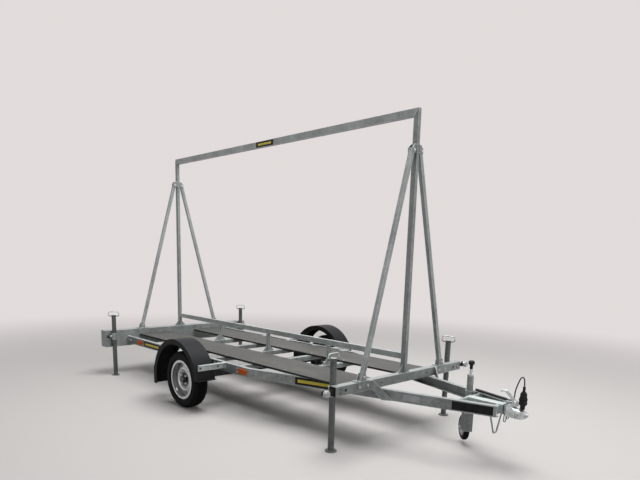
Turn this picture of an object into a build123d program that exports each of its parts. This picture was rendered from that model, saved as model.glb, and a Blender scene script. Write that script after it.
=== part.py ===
from build123d import *
import math
import os

# Advertising trailer: a galvanised single-axle chassis with a V drawbar that carries an upright
# banner frame. +X points to the coupling, +Y to the left, +Z up; the origin is on the ground
# under the middle of the length. All sizes are in millimetres.

# ---------------------------------------------------------------- driving dimensions
LENGTH = 4700              # rear face of the rear beam to the tip of the coupling
AXLE_FROM_REAR = 1842      # wheel centre line, ahead of the rear face

# Chassis rails: folded channels, straight at the rear and bent in to the coupling
RAIL_TOP = 444             # above the ground
RAIL_HEIGHT = 80
RAIL_FLANGE = 42
RAIL_WALL = 4
RAIL_SPREAD = 720          # outer face of a rail from the centre line
BEND_AHEAD_OF_AXLE = 640   # where the rails turn in
APEX_SPREAD = 110          # outer face of a rail from the centre line at its front end
COUPLING_OVERHANG = 175    # rails' front end to the tip of the coupling

# Rear beam: a folded sheet channel with the rear lamps inside its open side
REAR_BEAM_WIDTH = 1976
REAR_BEAM_HEIGHT = 190
REAR_BEAM_DEPTH = 120
REAR_BEAM_BOTTOM = 332
SHEET = 4
LAMP_PLATE_WIDTH = 260
LAMP_INSET = 50            # face of the lamp plates ahead of the beam's open side
LAMP_WIDTH = 224
LAMP_HEIGHT = 110
LAMP_DEPTH = 44

# Front beam and its gussets to the drawbar
FRONT_BEAM_WIDTH = 1632
BEAM_DEPTH = 60
BEAM_HEIGHT = 72
BEAM_WALL = 4
BEAM_HOLE_SPREAD = 712     # hole in the front face, from the centre line
BEAM_HOLE_RADIUS = 7
GUSSET_AHEAD = 130         # how far a gusset reaches ahead of the beam
GUSSET_FLARE = 52          # how far its rear end stands out from the rail
GUSSET_FLANGE = 36

# Cross members: square tubes between the rails
CROSS_COUNT = 5
CROSS_PITCH = 447
CROSS_AHEAD = 40           # middle one, ahead of the wheel centre line
CROSS_WIDTH = 60
CROSS_HEIGHT = 42
CROSS_WALL = 3

# Walkway planks
PLANK_INNER = 172          # inner edge from the centre line
PLANK_WIDTH = 394
PLANK_THICKNESS = 18
PLANK_END_GAP = 8

# Banner frame
BANNER_LENGTH = 3600       # over the outer faces of the two uprights
BANNER_TOP = 2552
TUBE_DEPTH = 60            # height of the tube along the top
UPRIGHT_DEPTH = 46         # uprights, along the frame
TUBE_THICKNESS = 30        # tube, across the frame
FRAME_BEHIND_WEB = 60      # rear edge of the frame, behind the rear beam's web
TUBE_WALL = 3
BOTTOM_RAIL_TOP = 676
BOTTOM_RAIL_HEIGHT = 48
POST_SIZE = 30
GUSSET_REACH = 62          # triangles at the feet of the uprights and posts
GUSSET_HEIGHT = 66
GUSSET_PLATE = 5

# Braces from the beams up to the uprights
BRACE_SIZE = 33
BRACE_HEAD_SPREAD = 45     # head from the centre line
BRACE_HEAD_BELOW = 295     # head below the top of the banner frame
COLLAR_HEIGHT = 64
COLLAR_WALL = 5
EAR_REACH = 52             # ears of a collar, out from the upright
EAR_SLOPE = 28
FOOT_HALF_LENGTH = 60      # brace foot plate, along its beam
FOOT_EAR_HEIGHT = 62
FOOT_GAP = 5               # foot plate to the gusset beside it
BRACKET_PLATE = 6

# Prop stands in bored collars
STAND_RADIUS = 24
STAND_WALL = 3
STAND_HEIGHT = 708
STAND_FOOT_RADIUS = 45
STAND_FOOT_THICKNESS = 8
STAND_CLEARANCE = 0.3
FRONT_STAND_INSET = 64     # middle of a stand from the end of its beam
REAR_STAND_INSET = 90
CLAMP_WALL = 10
CLAMP_HEIGHT = 72
CLAMP_BOTTOM = 424
RING_WIDTH = 128
RING_HEIGHT = 50
RING_WIRE = 4.5            # radius
RING_DROP = 14             # lower side of the ring below the stand's top

# Wheels: 145/70 R 13 tyres on steel rims, four-bolt hubs
TYRE_RADIUS = 266.5
TYRE_WIDTH = 148
WHEEL_SPREAD = 946         # middle of a tyre from the centre line
RIM_SEAT = 163
RIM_FLANGE = 182.5
RIM_WIDTH = 124
RIM_SHEET = 4
VENT_COUNT = 10
VENT_RADIUS = 12
VENT_CIRCLE = 126
CENTRE_BORE = 30
DISC_FACE = 26             # hub face of the disc, outwards of the tyre's middle
HUB_RADIUS = 62
HUB_BACK = -90
CAP_RADIUS = 29
CAP_REACH = 34             # dust cap, past the wheel's disc
STUB_RADIUS = 18
STUB_CLEARANCE = 0.1
STUB_PAST_MIDDLE = 36

# Axle: a square beam under the rails with trailing arms
AXLE_BEAM_SIZE = 70
AXLE_FILLET = 10
ARM_TRAIL = 150            # beam ahead of the wheel centre
ARM_THICKNESS = 28
ARM_SPREAD = 764           # inner face of an arm from the centre line
ARM_HEAD_RADIUS = 45
ARM_TAIL_RADIUS = 34

# Mudguards: round, a skirt on each side and a straight flap at the rear
GUARD_INNER = 834
GUARD_WIDTH = 192
GUARD_WALL = 4
GUARD_RADIUS = 402
GUARD_CENTRE_BEHIND = 88   # middle of the round, behind the wheel centre line
GUARD_CENTRE_HEIGHT = 235
GUARD_FRONT_BOTTOM = 306
GUARD_REAR_BOTTOM = 150
GUARD_SKIRT = 48
GUARD_NOSE = 20            # width of the turned-out front edge
BRACKET_TOP = 446
BRACKET_DROP = 56
BRACKET_REACH = 34

# Jockey wheel
JOCKEY_BEHIND = 358        # its tube, behind the rails' front ends
JOCKEY_RADIUS = 24
JOCKEY_TOP = 575
JOCKEY_BOTTOM = 290
JOCKEY_INNER_RADIUS = 20
JOCKEY_LIFT = 34           # its wheel is wound up clear of the ground
JOCKEY_TRAIL = 72
JOCKEY_SWIVEL = 136        # degrees from +X that the caster trails towards
JOCKEY_WHEEL_RADIUS = 100
JOCKEY_WHEEL_WIDTH = 44
FORK_TOP = 274
FORK_PLATE = 5
JOCKEY_PAD_LENGTH = 60

# Coupling for a 50 mm ball on a square seat tube, the parked plug and the cords
BALL_RADIUS = 25.05
BALL_FROM_TIP = 70
BALL_HEIGHT = 396
BALL_DEPTH = 30            # centre of the ball above the head's lower edge
HEAD_WIDTH = 84
HEAD_ABOVE_BALL = 48
NOSE_DROP = 12             # top of the nose below the top of the shank
SEAT_LENGTH = 290
SEAT_AHEAD = 30            # seat tube's front end ahead of the rails' front ends
SEAT_HEIGHT = 60
SEAT_WALL = 5
NOSE_WIDTH = 68            # over the ball
HOLDER_HEIGHT = 66         # top of the cup above the shank's top
HOLDER_FLOOR = 34          # and of its floor
HOLDER_RADIUS = 30
PLUG_RADIUS = 21           # in the cup
PLUG_HEIGHT = 118
LEVER_RISE = 106           # top of the handle above the shank's top
PLUG_FROM_TIP = 44
CONDUIT_RADIUS = 10
CONDUIT_LENGTH = 300
CONDUIT_INSET = 22         # middle of the sleeve from the rail's outer face
LEAD_RADIUS = 4.5
LEAD_FOLD = 26             # width of the fold that the lead makes over its plug
LEAD_RISE = 56             # and its height
CABLE_RADIUS = 3
HOOP_BEHIND = 55           # skid hoop behind the rails' front ends
HOOP_DROP = 144

# Lamps and reflectors
MARKER_REACH = 94          # middle of a marker lamp past the end of the front beam
MARKER_RADIUS = 26
REFLECTOR_BEHIND = 1405    # middle of the rear side reflector, behind the wheel centre line
REFLECTOR_AHEAD = 578
REFLECTOR_LENGTH = 104
REFLECTOR_HEIGHT = 44

SEAT_GAP = 0.3             # what is pushed on or lies loose stays this far from its seat

# ---------------------------------------------------------------- places worked out from them
X_REAR = -LENGTH / 2
X_TIP = LENGTH / 2
AXLE_X = X_REAR + AXLE_FROM_REAR
RAIL_BOTTOM = RAIL_TOP - RAIL_HEIGHT
BEND_X = AXLE_X + BEND_AHEAD_OF_AXLE
RAIL_FRONT_X = X_TIP - COUPLING_OVERHANG
REAR_WEB_X = X_REAR + REAR_BEAM_DEPTH
REAR_BEAM_TOP = REAR_BEAM_BOTTOM + REAR_BEAM_HEIGHT
BANNER_REAR_X = REAR_WEB_X - FRAME_BEHIND_WEB
BANNER_FRONT_X = BANNER_REAR_X + BANNER_LENGTH
FRONT_BEAM_X = BANNER_FRONT_X - BEAM_DEPTH
FRONT_BEAM_TOP = RAIL_TOP + BEAM_HEIGHT
BOTTOM_RAIL_BASE = BOTTOM_RAIL_TOP - BOTTOM_RAIL_HEIGHT
PLANK_TOP = RAIL_TOP + PLANK_THICKNESS
CROSS_XS = [AXLE_X + CROSS_AHEAD + (i - (CROSS_COUNT - 1) / 2) * CROSS_PITCH for i in range(CROSS_COUNT)]
POST_XS = CROSS_XS[::2]
CLAMP_OFFSET = STAND_RADIUS + CLAMP_WALL
FRONT_STAND_X = FRONT_BEAM_X - CLAMP_OFFSET
REAR_STAND_X = REAR_WEB_X + CLAMP_OFFSET
FRONT_STAND_SPREAD = FRONT_BEAM_WIDTH / 2 - FRONT_STAND_INSET
REAR_STAND_SPREAD = REAR_BEAM_WIDTH / 2 - REAR_STAND_INSET
BRACE_HEAD_HEIGHT = BANNER_TOP - BRACE_HEAD_BELOW
BALL_X = X_TIP - BALL_FROM_TIP
REAR_LAMP_BACK_X = X_REAR + LAMP_INSET
PLUG_X = X_TIP - PLUG_FROM_TIP
JOCKEY_X = RAIL_FRONT_X - JOCKEY_BEHIND
JOCKEY_AXLE_HEIGHT = JOCKEY_WHEEL_RADIUS + JOCKEY_LIFT
HOOP_X = RAIL_FRONT_X - HOOP_BEHIND
HEAD_BOTTOM = BALL_HEIGHT - BALL_DEPTH
HEAD_TOP = BALL_HEIGHT + HEAD_ABOVE_BALL
PLUG_BOTTOM = HEAD_TOP + HOLDER_FLOOR
PLUG_TOP = PLUG_BOTTOM + PLUG_HEIGHT
CONDUIT_Z = RAIL_TOP + CONDUIT_RADIUS + SEAT_GAP
TAPER = (RAIL_SPREAD - APEX_SPREAD) / (RAIL_FRONT_X - BEND_X)
TAPER_ANGLE = math.atan(TAPER)


def rail_face_y(x):
    """Outer face of the left rail at x."""
    return RAIL_SPREAD - max(0.0, x - BEND_X) * TAPER


JOCKEY_REACH = RAIL_FLANGE + JOCKEY_RADIUS + 9
JOCKEY_Y = rail_face_y(JOCKEY_X) - JOCKEY_REACH / math.cos(TAPER_ANGLE)
GUSSET_REAR_Y = rail_face_y(FRONT_BEAM_X + BEAM_DEPTH) + GUSSET_FLARE
BRACE_FOOT_SPREAD = GUSSET_REAR_Y + GUSSET_FLANGE + FOOT_GAP + FOOT_HALF_LENGTH


def on_rail_top(behind):
    """A point on the conduit's line along the left rail, behind the rail's front end."""
    x = RAIL_FRONT_X - behind
    return x, rail_face_y(x) - CONDUIT_INSET / math.cos(TAPER_ANGLE), CONDUIT_Z


CONDUIT_FRONT = on_rail_top(30)
CONDUIT_REAR = on_rail_top(30 + CONDUIT_LENGTH)
LEAD_ROUTE = [CONDUIT_FRONT, on_rail_top(-12), (RAIL_FRONT_X + 38, 63, CONDUIT_Z + 28),
              (PLUG_X - LEAD_FOLD - 52, 33, PLUG_TOP - 56), (PLUG_X - LEAD_FOLD - 24, 17, PLUG_TOP + 20),
              (PLUG_X - LEAD_FOLD, 6, PLUG_TOP + LEAD_RISE + 6), (PLUG_X, 0, PLUG_TOP + LEAD_RISE - 6),
              (PLUG_X, 0, PLUG_TOP)]


# ---------------------------------------------------------------- helpers
def block(x0, x1, y0, y1, z0, z1):
    """A box between two corners."""
    size = Box(abs(x1 - x0), abs(y1 - y0), abs(z1 - z0))
    return Pos((x0 + x1) / 2, (y0 + y1) / 2, (z0 + z1) / 2) * size


def prism(points, plane, depth):
    """A closed outline on a plane, extruded along the plane's normal."""
    return extrude(plane * make_face(Polyline(*points, close=True)), depth)


def upright_rod(x, y, z0, z1, radius):
    return Pos(x, y, (z0 + z1) / 2) * Cylinder(radius, z1 - z0)


def cross_rod(x, z, y0, y1, radius):
    """A cylinder along Y."""
    return Pos(x, (y0 + y1) / 2, z) * Rot(90, 0, 0) * Cylinder(radius, abs(y1 - y0))


def both_sides(shape):
    """The shape and its mirror image across the centre line, as solids of one node."""
    return Compound(children=[*shape.solids(), *mirror(shape, Plane.XZ).solids()])


def right_of(shape):
    """The mirror image on the right, -Y, side."""
    return mirror(shape, Plane.XZ)


def save(name, shape):
    shape.label = name
    export_step(shape, f"parts/{name}.step")


# ---------------------------------------------------------------- chassis
def rail_strip(width, z0, z1):
    """The left rail's plan, from its outer face inwards by a width, between two heights."""
    bend_shift = width * math.tan(TAPER_ANGLE / 2)
    end_shift = width / math.cos(TAPER_ANGLE)
    outer = [(REAR_WEB_X, RAIL_SPREAD), (BEND_X, RAIL_SPREAD), (RAIL_FRONT_X, APEX_SPREAD)]
    inner = [(RAIL_FRONT_X, APEX_SPREAD - end_shift), (BEND_X - bend_shift, RAIL_SPREAD - width),
             (REAR_WEB_X, RAIL_SPREAD - width)]
    return Pos(0, 0, z0) * prism(outer + inner, Plane.XY, z1 - z0)


def left_rail():
    """A folded channel, open towards the centre line."""
    web = rail_strip(RAIL_WALL, RAIL_BOTTOM, RAIL_TOP)
    top = rail_strip(RAIL_FLANGE, RAIL_TOP - RAIL_WALL, RAIL_TOP)
    bottom = rail_strip(RAIL_FLANGE, RAIL_BOTTOM, RAIL_BOTTOM + RAIL_WALL)
    return web + top + bottom


def cross_members(rail):
    """Square tubes between the rails' webs, coped round the top flanges."""
    inside = rail_strip(RAIL_WALL, RAIL_BOTTOM, RAIL_TOP + 1)
    solids = []
    for x in CROSS_XS:
        half = rail_face_y(x + CROSS_WIDTH / 2) + RAIL_FLANGE
        z0 = RAIL_TOP - CROSS_HEIGHT
        tube = block(x - CROSS_WIDTH / 2, x + CROSS_WIDTH / 2, -half, half, z0, RAIL_TOP)
        tube -= block(x - CROSS_WIDTH / 2 + CROSS_WALL, x + CROSS_WIDTH / 2 - CROSS_WALL,
                      -half, half, z0 + CROSS_WALL, RAIL_TOP - CROSS_WALL)
        for cutter in (rail, inside, mirror(rail, Plane.XZ), mirror(inside, Plane.XZ)):
            tube -= cutter
        solids.append(max(tube.solids(), key=lambda s: s.volume))
    return Compound(children=solids)


def rear_beam():
    """A folded channel, open to the rear, with end plates and two lamp plates inside."""
    half = REAR_BEAM_WIDTH / 2
    outer = block(X_REAR, REAR_WEB_X, -half, half, REAR_BEAM_BOTTOM, REAR_BEAM_TOP)
    hollow = block(X_REAR, REAR_WEB_X - SHEET, -half + SHEET, half - SHEET,
                   REAR_BEAM_BOTTOM + SHEET, REAR_BEAM_TOP - SHEET)
    beam = outer - hollow
    plate = block(REAR_LAMP_BACK_X, REAR_LAMP_BACK_X + SHEET, half - LAMP_PLATE_WIDTH, half - SHEET,
                  REAR_BEAM_BOTTOM + SHEET, REAR_BEAM_TOP - SHEET)
    rib = block(X_REAR + SHEET, REAR_WEB_X - SHEET, TUBE_THICKNESS / 2, TUBE_THICKNESS / 2 + SHEET,
                REAR_BEAM_BOTTOM + SHEET, REAR_BEAM_TOP - SHEET)
    for piece in (plate, rib):
        beam += piece
        beam += right_of(piece)
    return beam


def front_beam():
    half = FRONT_BEAM_WIDTH / 2
    x1 = FRONT_BEAM_X + BEAM_DEPTH
    beam = block(FRONT_BEAM_X, x1, -half, half, RAIL_TOP, FRONT_BEAM_TOP)
    beam -= block(FRONT_BEAM_X + BEAM_WALL, x1 - BEAM_WALL, -half, half,
                  RAIL_TOP + BEAM_WALL, FRONT_BEAM_TOP - BEAM_WALL)
    for y in (-BEAM_HOLE_SPREAD, BEAM_HOLE_SPREAD):
        hole = Rot(0, 90, 0) * Cylinder(BEAM_HOLE_RADIUS, BEAM_WALL * 3)
        beam -= Pos(x1, y, RAIL_TOP + BEAM_HEIGHT / 2) * hole
    return beam


def drawbar_gusset():
    """A vertical plate from the front beam's face to the left rail's outer face, folded at the beam."""
    x1 = FRONT_BEAM_X + BEAM_DEPTH
    x2 = x1 + GUSSET_AHEAD
    run_y = rail_face_y(x2) - GUSSET_REAR_Y
    span = math.hypot(GUSSET_AHEAD, run_y)
    face = Plane(origin=(x1, GUSSET_REAR_Y, 0), x_dir=(GUSSET_AHEAD / span, run_y / span, 0),
                 z_dir=(run_y / span, -GUSSET_AHEAD / span, 0))
    points = [(BRACKET_PLATE, RAIL_TOP), (BRACKET_PLATE, FRONT_BEAM_TOP - SEAT_GAP), (span, RAIL_BOTTOM + 8),
              (span, RAIL_BOTTOM), (span / 2, RAIL_BOTTOM)]
    plate = prism(points, face, -BRACKET_PLATE)
    flange = block(x1, x1 + BRACKET_PLATE, GUSSET_REAR_Y - BRACKET_PLATE, GUSSET_REAR_Y + GUSSET_FLANGE,
                   RAIL_TOP, FRONT_BEAM_TOP - SEAT_GAP)
    return plate + flange


def axle_beam():
    x = AXLE_X + ARM_TRAIL
    h = AXLE_BEAM_SIZE / 2
    beam = block(x - h, x + h, -ARM_SPREAD, ARM_SPREAD, RAIL_BOTTOM - 2 * h, RAIL_BOTTOM)
    return fillet(beam.edges().filter_by(Axis.Y), AXLE_FILLET)


def axle_arm():
    """The left trailing arm with its stub axle."""
    head = cross_rod(AXLE_X + ARM_TRAIL, RAIL_BOTTOM - AXLE_BEAM_SIZE / 2,
                     ARM_SPREAD, ARM_SPREAD + ARM_THICKNESS, ARM_HEAD_RADIUS)
    tail = cross_rod(AXLE_X, TYRE_RADIUS, ARM_SPREAD, ARM_SPREAD + ARM_THICKNESS, ARM_TAIL_RADIUS)
    drop = RAIL_BOTTOM - AXLE_BEAM_SIZE / 2 - TYRE_RADIUS
    span = math.hypot(ARM_TRAIL, drop)
    tilt = math.degrees(math.atan2(drop, ARM_TRAIL))
    link = Box(span, ARM_THICKNESS, 2 * ARM_TAIL_RADIUS - 8)
    middle = Pos(AXLE_X + ARM_TRAIL / 2, ARM_SPREAD + ARM_THICKNESS / 2, TYRE_RADIUS + drop / 2)
    arm = head + tail + middle * Rot(0, -tilt, 0) * link
    stub = cross_rod(AXLE_X, TYRE_RADIUS, ARM_SPREAD, WHEEL_SPREAD + STUB_PAST_MIDDLE, STUB_RADIUS)
    return arm + stub


def plank():
    """The left walkway plank."""
    return block(REAR_WEB_X + PLANK_END_GAP, FRONT_BEAM_X - PLANK_END_GAP,
                 PLANK_INNER, PLANK_INNER + PLANK_WIDTH, RAIL_TOP, PLANK_TOP)


# ---------------------------------------------------------------- wheels
def spun(points):
    """A profile of (radius, sideways) points turned about the Y axis."""
    return revolve(make_face(Polyline(*points, close=True)), Axis.Y)


def tyre():
    half = TYRE_WIDTH / 2
    bead = RIM_WIDTH / 2 - RIM_SHEET - SEAT_GAP
    seat = RIM_SEAT + SEAT_GAP
    shoulder = (TYRE_RADIUS - 14, half - 9)
    tread = (TYRE_RADIUS, half - 30)
    edges = [Line((seat, -bead), (seat, bead)), Line((tread[0], -tread[1]), tread)]
    for side in (-1, 1):
        def at(point):
            return point[0], side * point[1]
        edges += [Line(at((seat, bead)), at((RIM_FLANGE + 1, bead))),
                  ThreePointArc(at((RIM_FLANGE + 1, bead)), at((RIM_FLANGE + 36, half)), at(shoulder)),
                  ThreePointArc(at(shoulder), at((TYRE_RADIUS - 3, half - 18)), at(tread))]
    return revolve(make_face(edges), Axis.Y)


def rim():
    """Steel rim: well, flanges and a dished disc with round vents. Its outer side is +Y."""
    half = RIM_WIDTH / 2
    t = RIM_SHEET
    well = spun([(RIM_SEAT - t, -half), (RIM_FLANGE, -half), (RIM_FLANGE, -half + t), (RIM_SEAT, -half + t),
                 (RIM_SEAT, half - t), (RIM_FLANGE, half - t), (RIM_FLANGE, half), (RIM_SEAT - t, half)])
    face, seat = DISC_FACE, RIM_SEAT - t
    disc = spun([(CENTRE_BORE, face), (88, face), (100, face + 10), (seat, face - 8),
                 (seat, face - 8 - t), (99, face + 10 - t), (86, face - t), (CENTRE_BORE, face - t)])
    hole = Pos(VENT_CIRCLE, DISC_FACE, 0) * Rot(90, 0, 0) * Cylinder(VENT_RADIUS, 60)
    for i in range(VENT_COUNT):
        disc -= Rot(0, i * 360 / VENT_COUNT, 0) * hole
    return well + disc


def hub():
    """Hub barrel, flange and dust cap. Its outer side is +Y."""
    back = DISC_FACE - RIM_SHEET - SEAT_GAP
    bore = STUB_RADIUS + STUB_CLEARANCE
    cap = DISC_FACE + CAP_REACH
    return spun([(bore, HUB_BACK), (38, HUB_BACK), (38, back - 10), (HUB_RADIUS, back - 10),
                 (HUB_RADIUS, back), (CAP_RADIUS, back), (CAP_RADIUS, cap - 6), (CAP_RADIUS - 6, cap),
                 (0, cap), (0, cap - 14), (bore, cap - 14)])


def wheel_place(side):
    """Where a wheel built about the origin goes: the left one, or turned round for the right."""
    turn = 0 if side > 0 else 180
    return Pos(AXLE_X, side * WHEEL_SPREAD, TYRE_RADIUS) * Rot(0, 0, turn)


# ---------------------------------------------------------------- mudguards
def guard_arc(radius):
    """Side outline of the left mudguard's round at a radius, as (x, z), from front to rear."""
    cx, cz = AXLE_X - GUARD_CENTRE_BEHIND, GUARD_CENTRE_HEIGHT
    front = math.asin((GUARD_FRONT_BOTTOM - cz) / GUARD_RADIUS)
    angles = (front, (front + math.pi) / 2, math.pi)
    return [(cx + radius * math.cos(a), cz + radius * math.sin(a)) for a in angles]


def guard_strip(depth):
    """The band between the guard's outline and the same outline a depth further in."""
    outer, inner = guard_arc(GUARD_RADIUS), guard_arc(GUARD_RADIUS - depth)
    rear_outer = (outer[2][0], GUARD_REAR_BOTTOM)
    rear_inner = (inner[2][0], GUARD_REAR_BOTTOM)
    edges = [ThreePointArc(*outer), Line(outer[2], rear_outer), Line(rear_outer, rear_inner),
             Line(rear_inner, inner[2]), ThreePointArc(*inner), Line(inner[0], outer[0])]
    side = Plane(origin=(0, GUARD_INNER, 0), x_dir=(1, 0, 0), z_dir=(0, -1, 0))
    return side * make_face(edges)


def mudguard():
    guard = extrude(guard_strip(GUARD_WALL), -GUARD_WIDTH)
    skirt = extrude(guard_strip(GUARD_SKIRT), -GUARD_WALL)
    guard += skirt + Pos(0, GUARD_WIDTH - GUARD_WALL, 0) * skirt
    x, z = guard_arc(GUARD_RADIUS)[0]
    nose = block(x - GUARD_WALL, x + GUARD_NOSE, GUARD_INNER, GUARD_INNER + GUARD_WIDTH, z - GUARD_WALL, z)
    return guard + nose


def guard_face_x(z, turn):
    """Outer face of a guard's round at a height, in front of the wheel or behind it."""
    half = math.sqrt(GUARD_RADIUS ** 2 - (z - GUARD_CENTRE_HEIGHT) ** 2)
    return AXLE_X - GUARD_CENTRE_BEHIND + turn * half


def guard_bracket(turn):
    """A folded bracket from the left rail across the mudguard's face, in front or behind."""
    x = guard_face_x(BRACKET_TOP - BRACKET_DROP, turn)
    y1 = GUARD_INNER + GUARD_WIDTH - 26
    low = BRACKET_TOP - BRACKET_DROP
    top = block(x, x + turn * BRACKET_REACH, RAIL_SPREAD, y1, BRACKET_TOP - 3, BRACKET_TOP)
    face = block(x, x + turn * 3, RAIL_SPREAD, y1, low, BRACKET_TOP)
    foot = block(x, x + turn * BRACKET_REACH, RAIL_SPREAD, RAIL_SPREAD + 4, low, BRACKET_TOP)
    return top + face + foot


# ---------------------------------------------------------------- banner frame
def foot_gussets(x, z, h):
    """Triangles on both sides of an upright or post that is 2 h wide across the frame."""
    points = [(h, z), (h + GUSSET_REACH, z), (h, z + GUSSET_HEIGHT)]
    plane = Plane(origin=(x - GUSSET_PLATE / 2, 0, 0), x_dir=(0, 1, 0), z_dir=(1, 0, 0))
    left = prism(points, plane, GUSSET_PLATE)
    return left, mirror(left, Plane.XZ)


def upright(x0, base):
    """A mitred upright standing on its beam, from x0 forward."""
    x1 = x0 + UPRIGHT_DEPTH
    h, w = TUBE_THICKNESS / 2, TUBE_WALL
    tube = block(x0, x1, -h, h, base, BANNER_TOP)
    tube -= block(x0 + w, x1 - w, -h + w, h - w, base, BANNER_TOP)
    tube -= mitre_cut(x0)
    for gusset in foot_gussets((x0 + x1) / 2, base, h):
        tube += gusset
    return tube


def mitre_cut(x0):
    """The wedge of the corner that belongs to the top beam."""
    inward = 1 if x0 == BANNER_REAR_X else -1
    outer_x = x0 if inward > 0 else x0 + UPRIGHT_DEPTH
    inner_x = outer_x + inward * UPRIGHT_DEPTH
    points = [(outer_x, BANNER_TOP), (inner_x, BANNER_TOP - TUBE_DEPTH), (inner_x, BANNER_TOP)]
    plane = Plane(origin=(0, TUBE_THICKNESS, 0), x_dir=(1, 0, 0), z_dir=(0, -1, 0))
    return prism(points, plane, 2 * TUBE_THICKNESS)


def top_beam():
    h, w = TUBE_THICKNESS / 2, TUBE_WALL
    z0 = BANNER_TOP - TUBE_DEPTH
    tube = block(BANNER_REAR_X, BANNER_FRONT_X, -h, h, z0, BANNER_TOP)
    tube -= block(BANNER_REAR_X, BANNER_FRONT_X, -h + w, h - w, z0 + w, BANNER_TOP - w)
    for x, inward in ((BANNER_REAR_X, 1), (BANNER_FRONT_X, -1)):
        points = [(x, BANNER_TOP), (x + inward * UPRIGHT_DEPTH, z0), (x, z0)]
        plane = Plane(origin=(0, TUBE_THICKNESS, 0), x_dir=(1, 0, 0), z_dir=(0, -1, 0))
        tube -= prism(points, plane, 2 * TUBE_THICKNESS)
    return tube


def bottom_rail():
    h, w = TUBE_THICKNESS / 2, TUBE_WALL
    x0, x1 = BANNER_REAR_X + UPRIGHT_DEPTH, BANNER_FRONT_X - UPRIGHT_DEPTH
    z0, z1 = BOTTOM_RAIL_BASE, BOTTOM_RAIL_TOP
    return block(x0, x1, -h, h, z0, z1) - block(x0, x1, -h + w, h - w, z0 + w, z1 - w)


def rail_post(x):
    h = POST_SIZE / 2
    post = block(x - h, x + h, -h, h, RAIL_TOP, BOTTOM_RAIL_BASE)
    for gusset in foot_gussets(x, RAIL_TOP, h):
        post += gusset
    return post


# ---------------------------------------------------------------- braces
def brace_line(base):
    """Foot and head of the left brace's middle line, as (y, z)."""
    return (BRACE_FOOT_SPREAD, base), (BRACE_HEAD_SPREAD, BRACE_HEAD_HEIGHT)


def brace(x, base):
    """The left brace, a square tube cut level at its foot."""
    (y0, z0), (y1, z1) = brace_line(base)
    lean = math.degrees(math.atan2(y0 - y1, z1 - z0))
    extra = BRACE_SIZE
    length = math.hypot(y0 - y1, z1 - z0) + extra
    s, w = BRACE_SIZE, BRACE_SIZE - 2 * TUBE_WALL
    tube = Box(s, s, length, align=(Align.CENTER, Align.CENTER, Align.MIN))
    tube -= Box(w, w, length, align=(Align.CENTER, Align.CENTER, Align.MIN))
    placed = Pos(x, y0, z0) * Rot(lean, 0, 0) * Pos(0, 0, -extra) * tube
    return placed - block(x - s, x + s, y0 - 3 * s, y0 + 3 * s, z0 - 3 * s, z0 + BRACKET_PLATE + SEAT_GAP)


def ear_pair(x, points):
    """Two plates either side of a brace, outlined in (y, z)."""
    solids = None
    for side in (-1, 1):
        x0 = x + side * (BRACE_SIZE / 2 + SEAT_GAP + BRACKET_PLATE / 2) - BRACKET_PLATE / 2
        plane = Plane(origin=(x0, 0, 0), x_dir=(0, 1, 0), z_dir=(1, 0, 0))
        plate = prism(points, plane, BRACKET_PLATE)
        solids = plate if solids is None else solids + plate
    return solids


def brace_foot(x, face_x, base):
    """A folded foot: a plate on the beam, a tab down the beam's front face and two ears."""
    (y0, z0), _ = brace_line(base)
    y_in, y_out = y0 - FOOT_HALF_LENGTH, y0 + FOOT_HALF_LENGTH
    plate = block(face_x - BEAM_DEPTH, face_x, y_in, y_out, base, base + BRACKET_PLATE)
    tab = block(face_x, face_x + BRACKET_PLATE, y_in, y_out, base - BEAM_HEIGHT, base + BRACKET_PLATE)
    z1 = z0 + FOOT_EAR_HEIGHT
    ears = ear_pair(x, [(y0 - 40, z0), (y0 + 34, z0), (y0 + 8, z1), (y0 - 26, z1)])
    return plate + tab + ears


def brace_collar(x0):
    """A sleeve round the upright with a pair of ears on each side."""
    x = x0 + UPRIGHT_DEPTH / 2
    h = TUBE_THICKNESS / 2 + SEAT_GAP
    d = UPRIGHT_DEPTH / 2 + SEAT_GAP
    z0 = BRACE_HEAD_HEIGHT - COLLAR_HEIGHT / 2
    z1 = z0 + COLLAR_HEIGHT
    sleeve = block(x - d - COLLAR_WALL, x + d + COLLAR_WALL, -h - COLLAR_WALL, h + COLLAR_WALL, z0, z1)
    ears = ear_pair(x, [(h, z0), (h + EAR_REACH, z0), (h + EAR_REACH, z1 - EAR_SLOPE),
                        (h + EAR_REACH - EAR_SLOPE, z1), (h, z1)])
    sleeve += ears + mirror(ears, Plane.XZ)
    return sleeve - block(x - d, x + d, -h, h, z0, z1)


# ---------------------------------------------------------------- prop stands
def stand(x, y, turn):
    """A tube with a round foot and a wire ring through its top; turn is the ring's heading."""
    tube = upright_rod(x, y, STAND_FOOT_THICKNESS, STAND_HEIGHT, STAND_RADIUS)
    tube -= upright_rod(x, y, STAND_FOOT_THICKNESS, STAND_HEIGHT - STAND_WALL, STAND_RADIUS - STAND_WALL)
    foot = upright_rod(x, y, 0, STAND_FOOT_THICKNESS, STAND_FOOT_RADIUS)
    plane = Plane(origin=(x, y, STAND_HEIGHT - RING_DROP + RING_HEIGHT / 2),
                  x_dir=(math.cos(math.radians(turn)), math.sin(math.radians(turn)), 0),
                  z_dir=(-math.sin(math.radians(turn)), math.cos(math.radians(turn)), 0))
    loop = plane * RectangleRounded(RING_WIDTH - 2 * RING_WIRE, RING_HEIGHT, RING_HEIGHT / 2 - 3)
    wire = loop.face().outer_wire()
    section = Plane(origin=wire @ 0, z_dir=wire % 0) * Circle(RING_WIRE)
    return tube + foot + sweep(section, path=wire)


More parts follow.
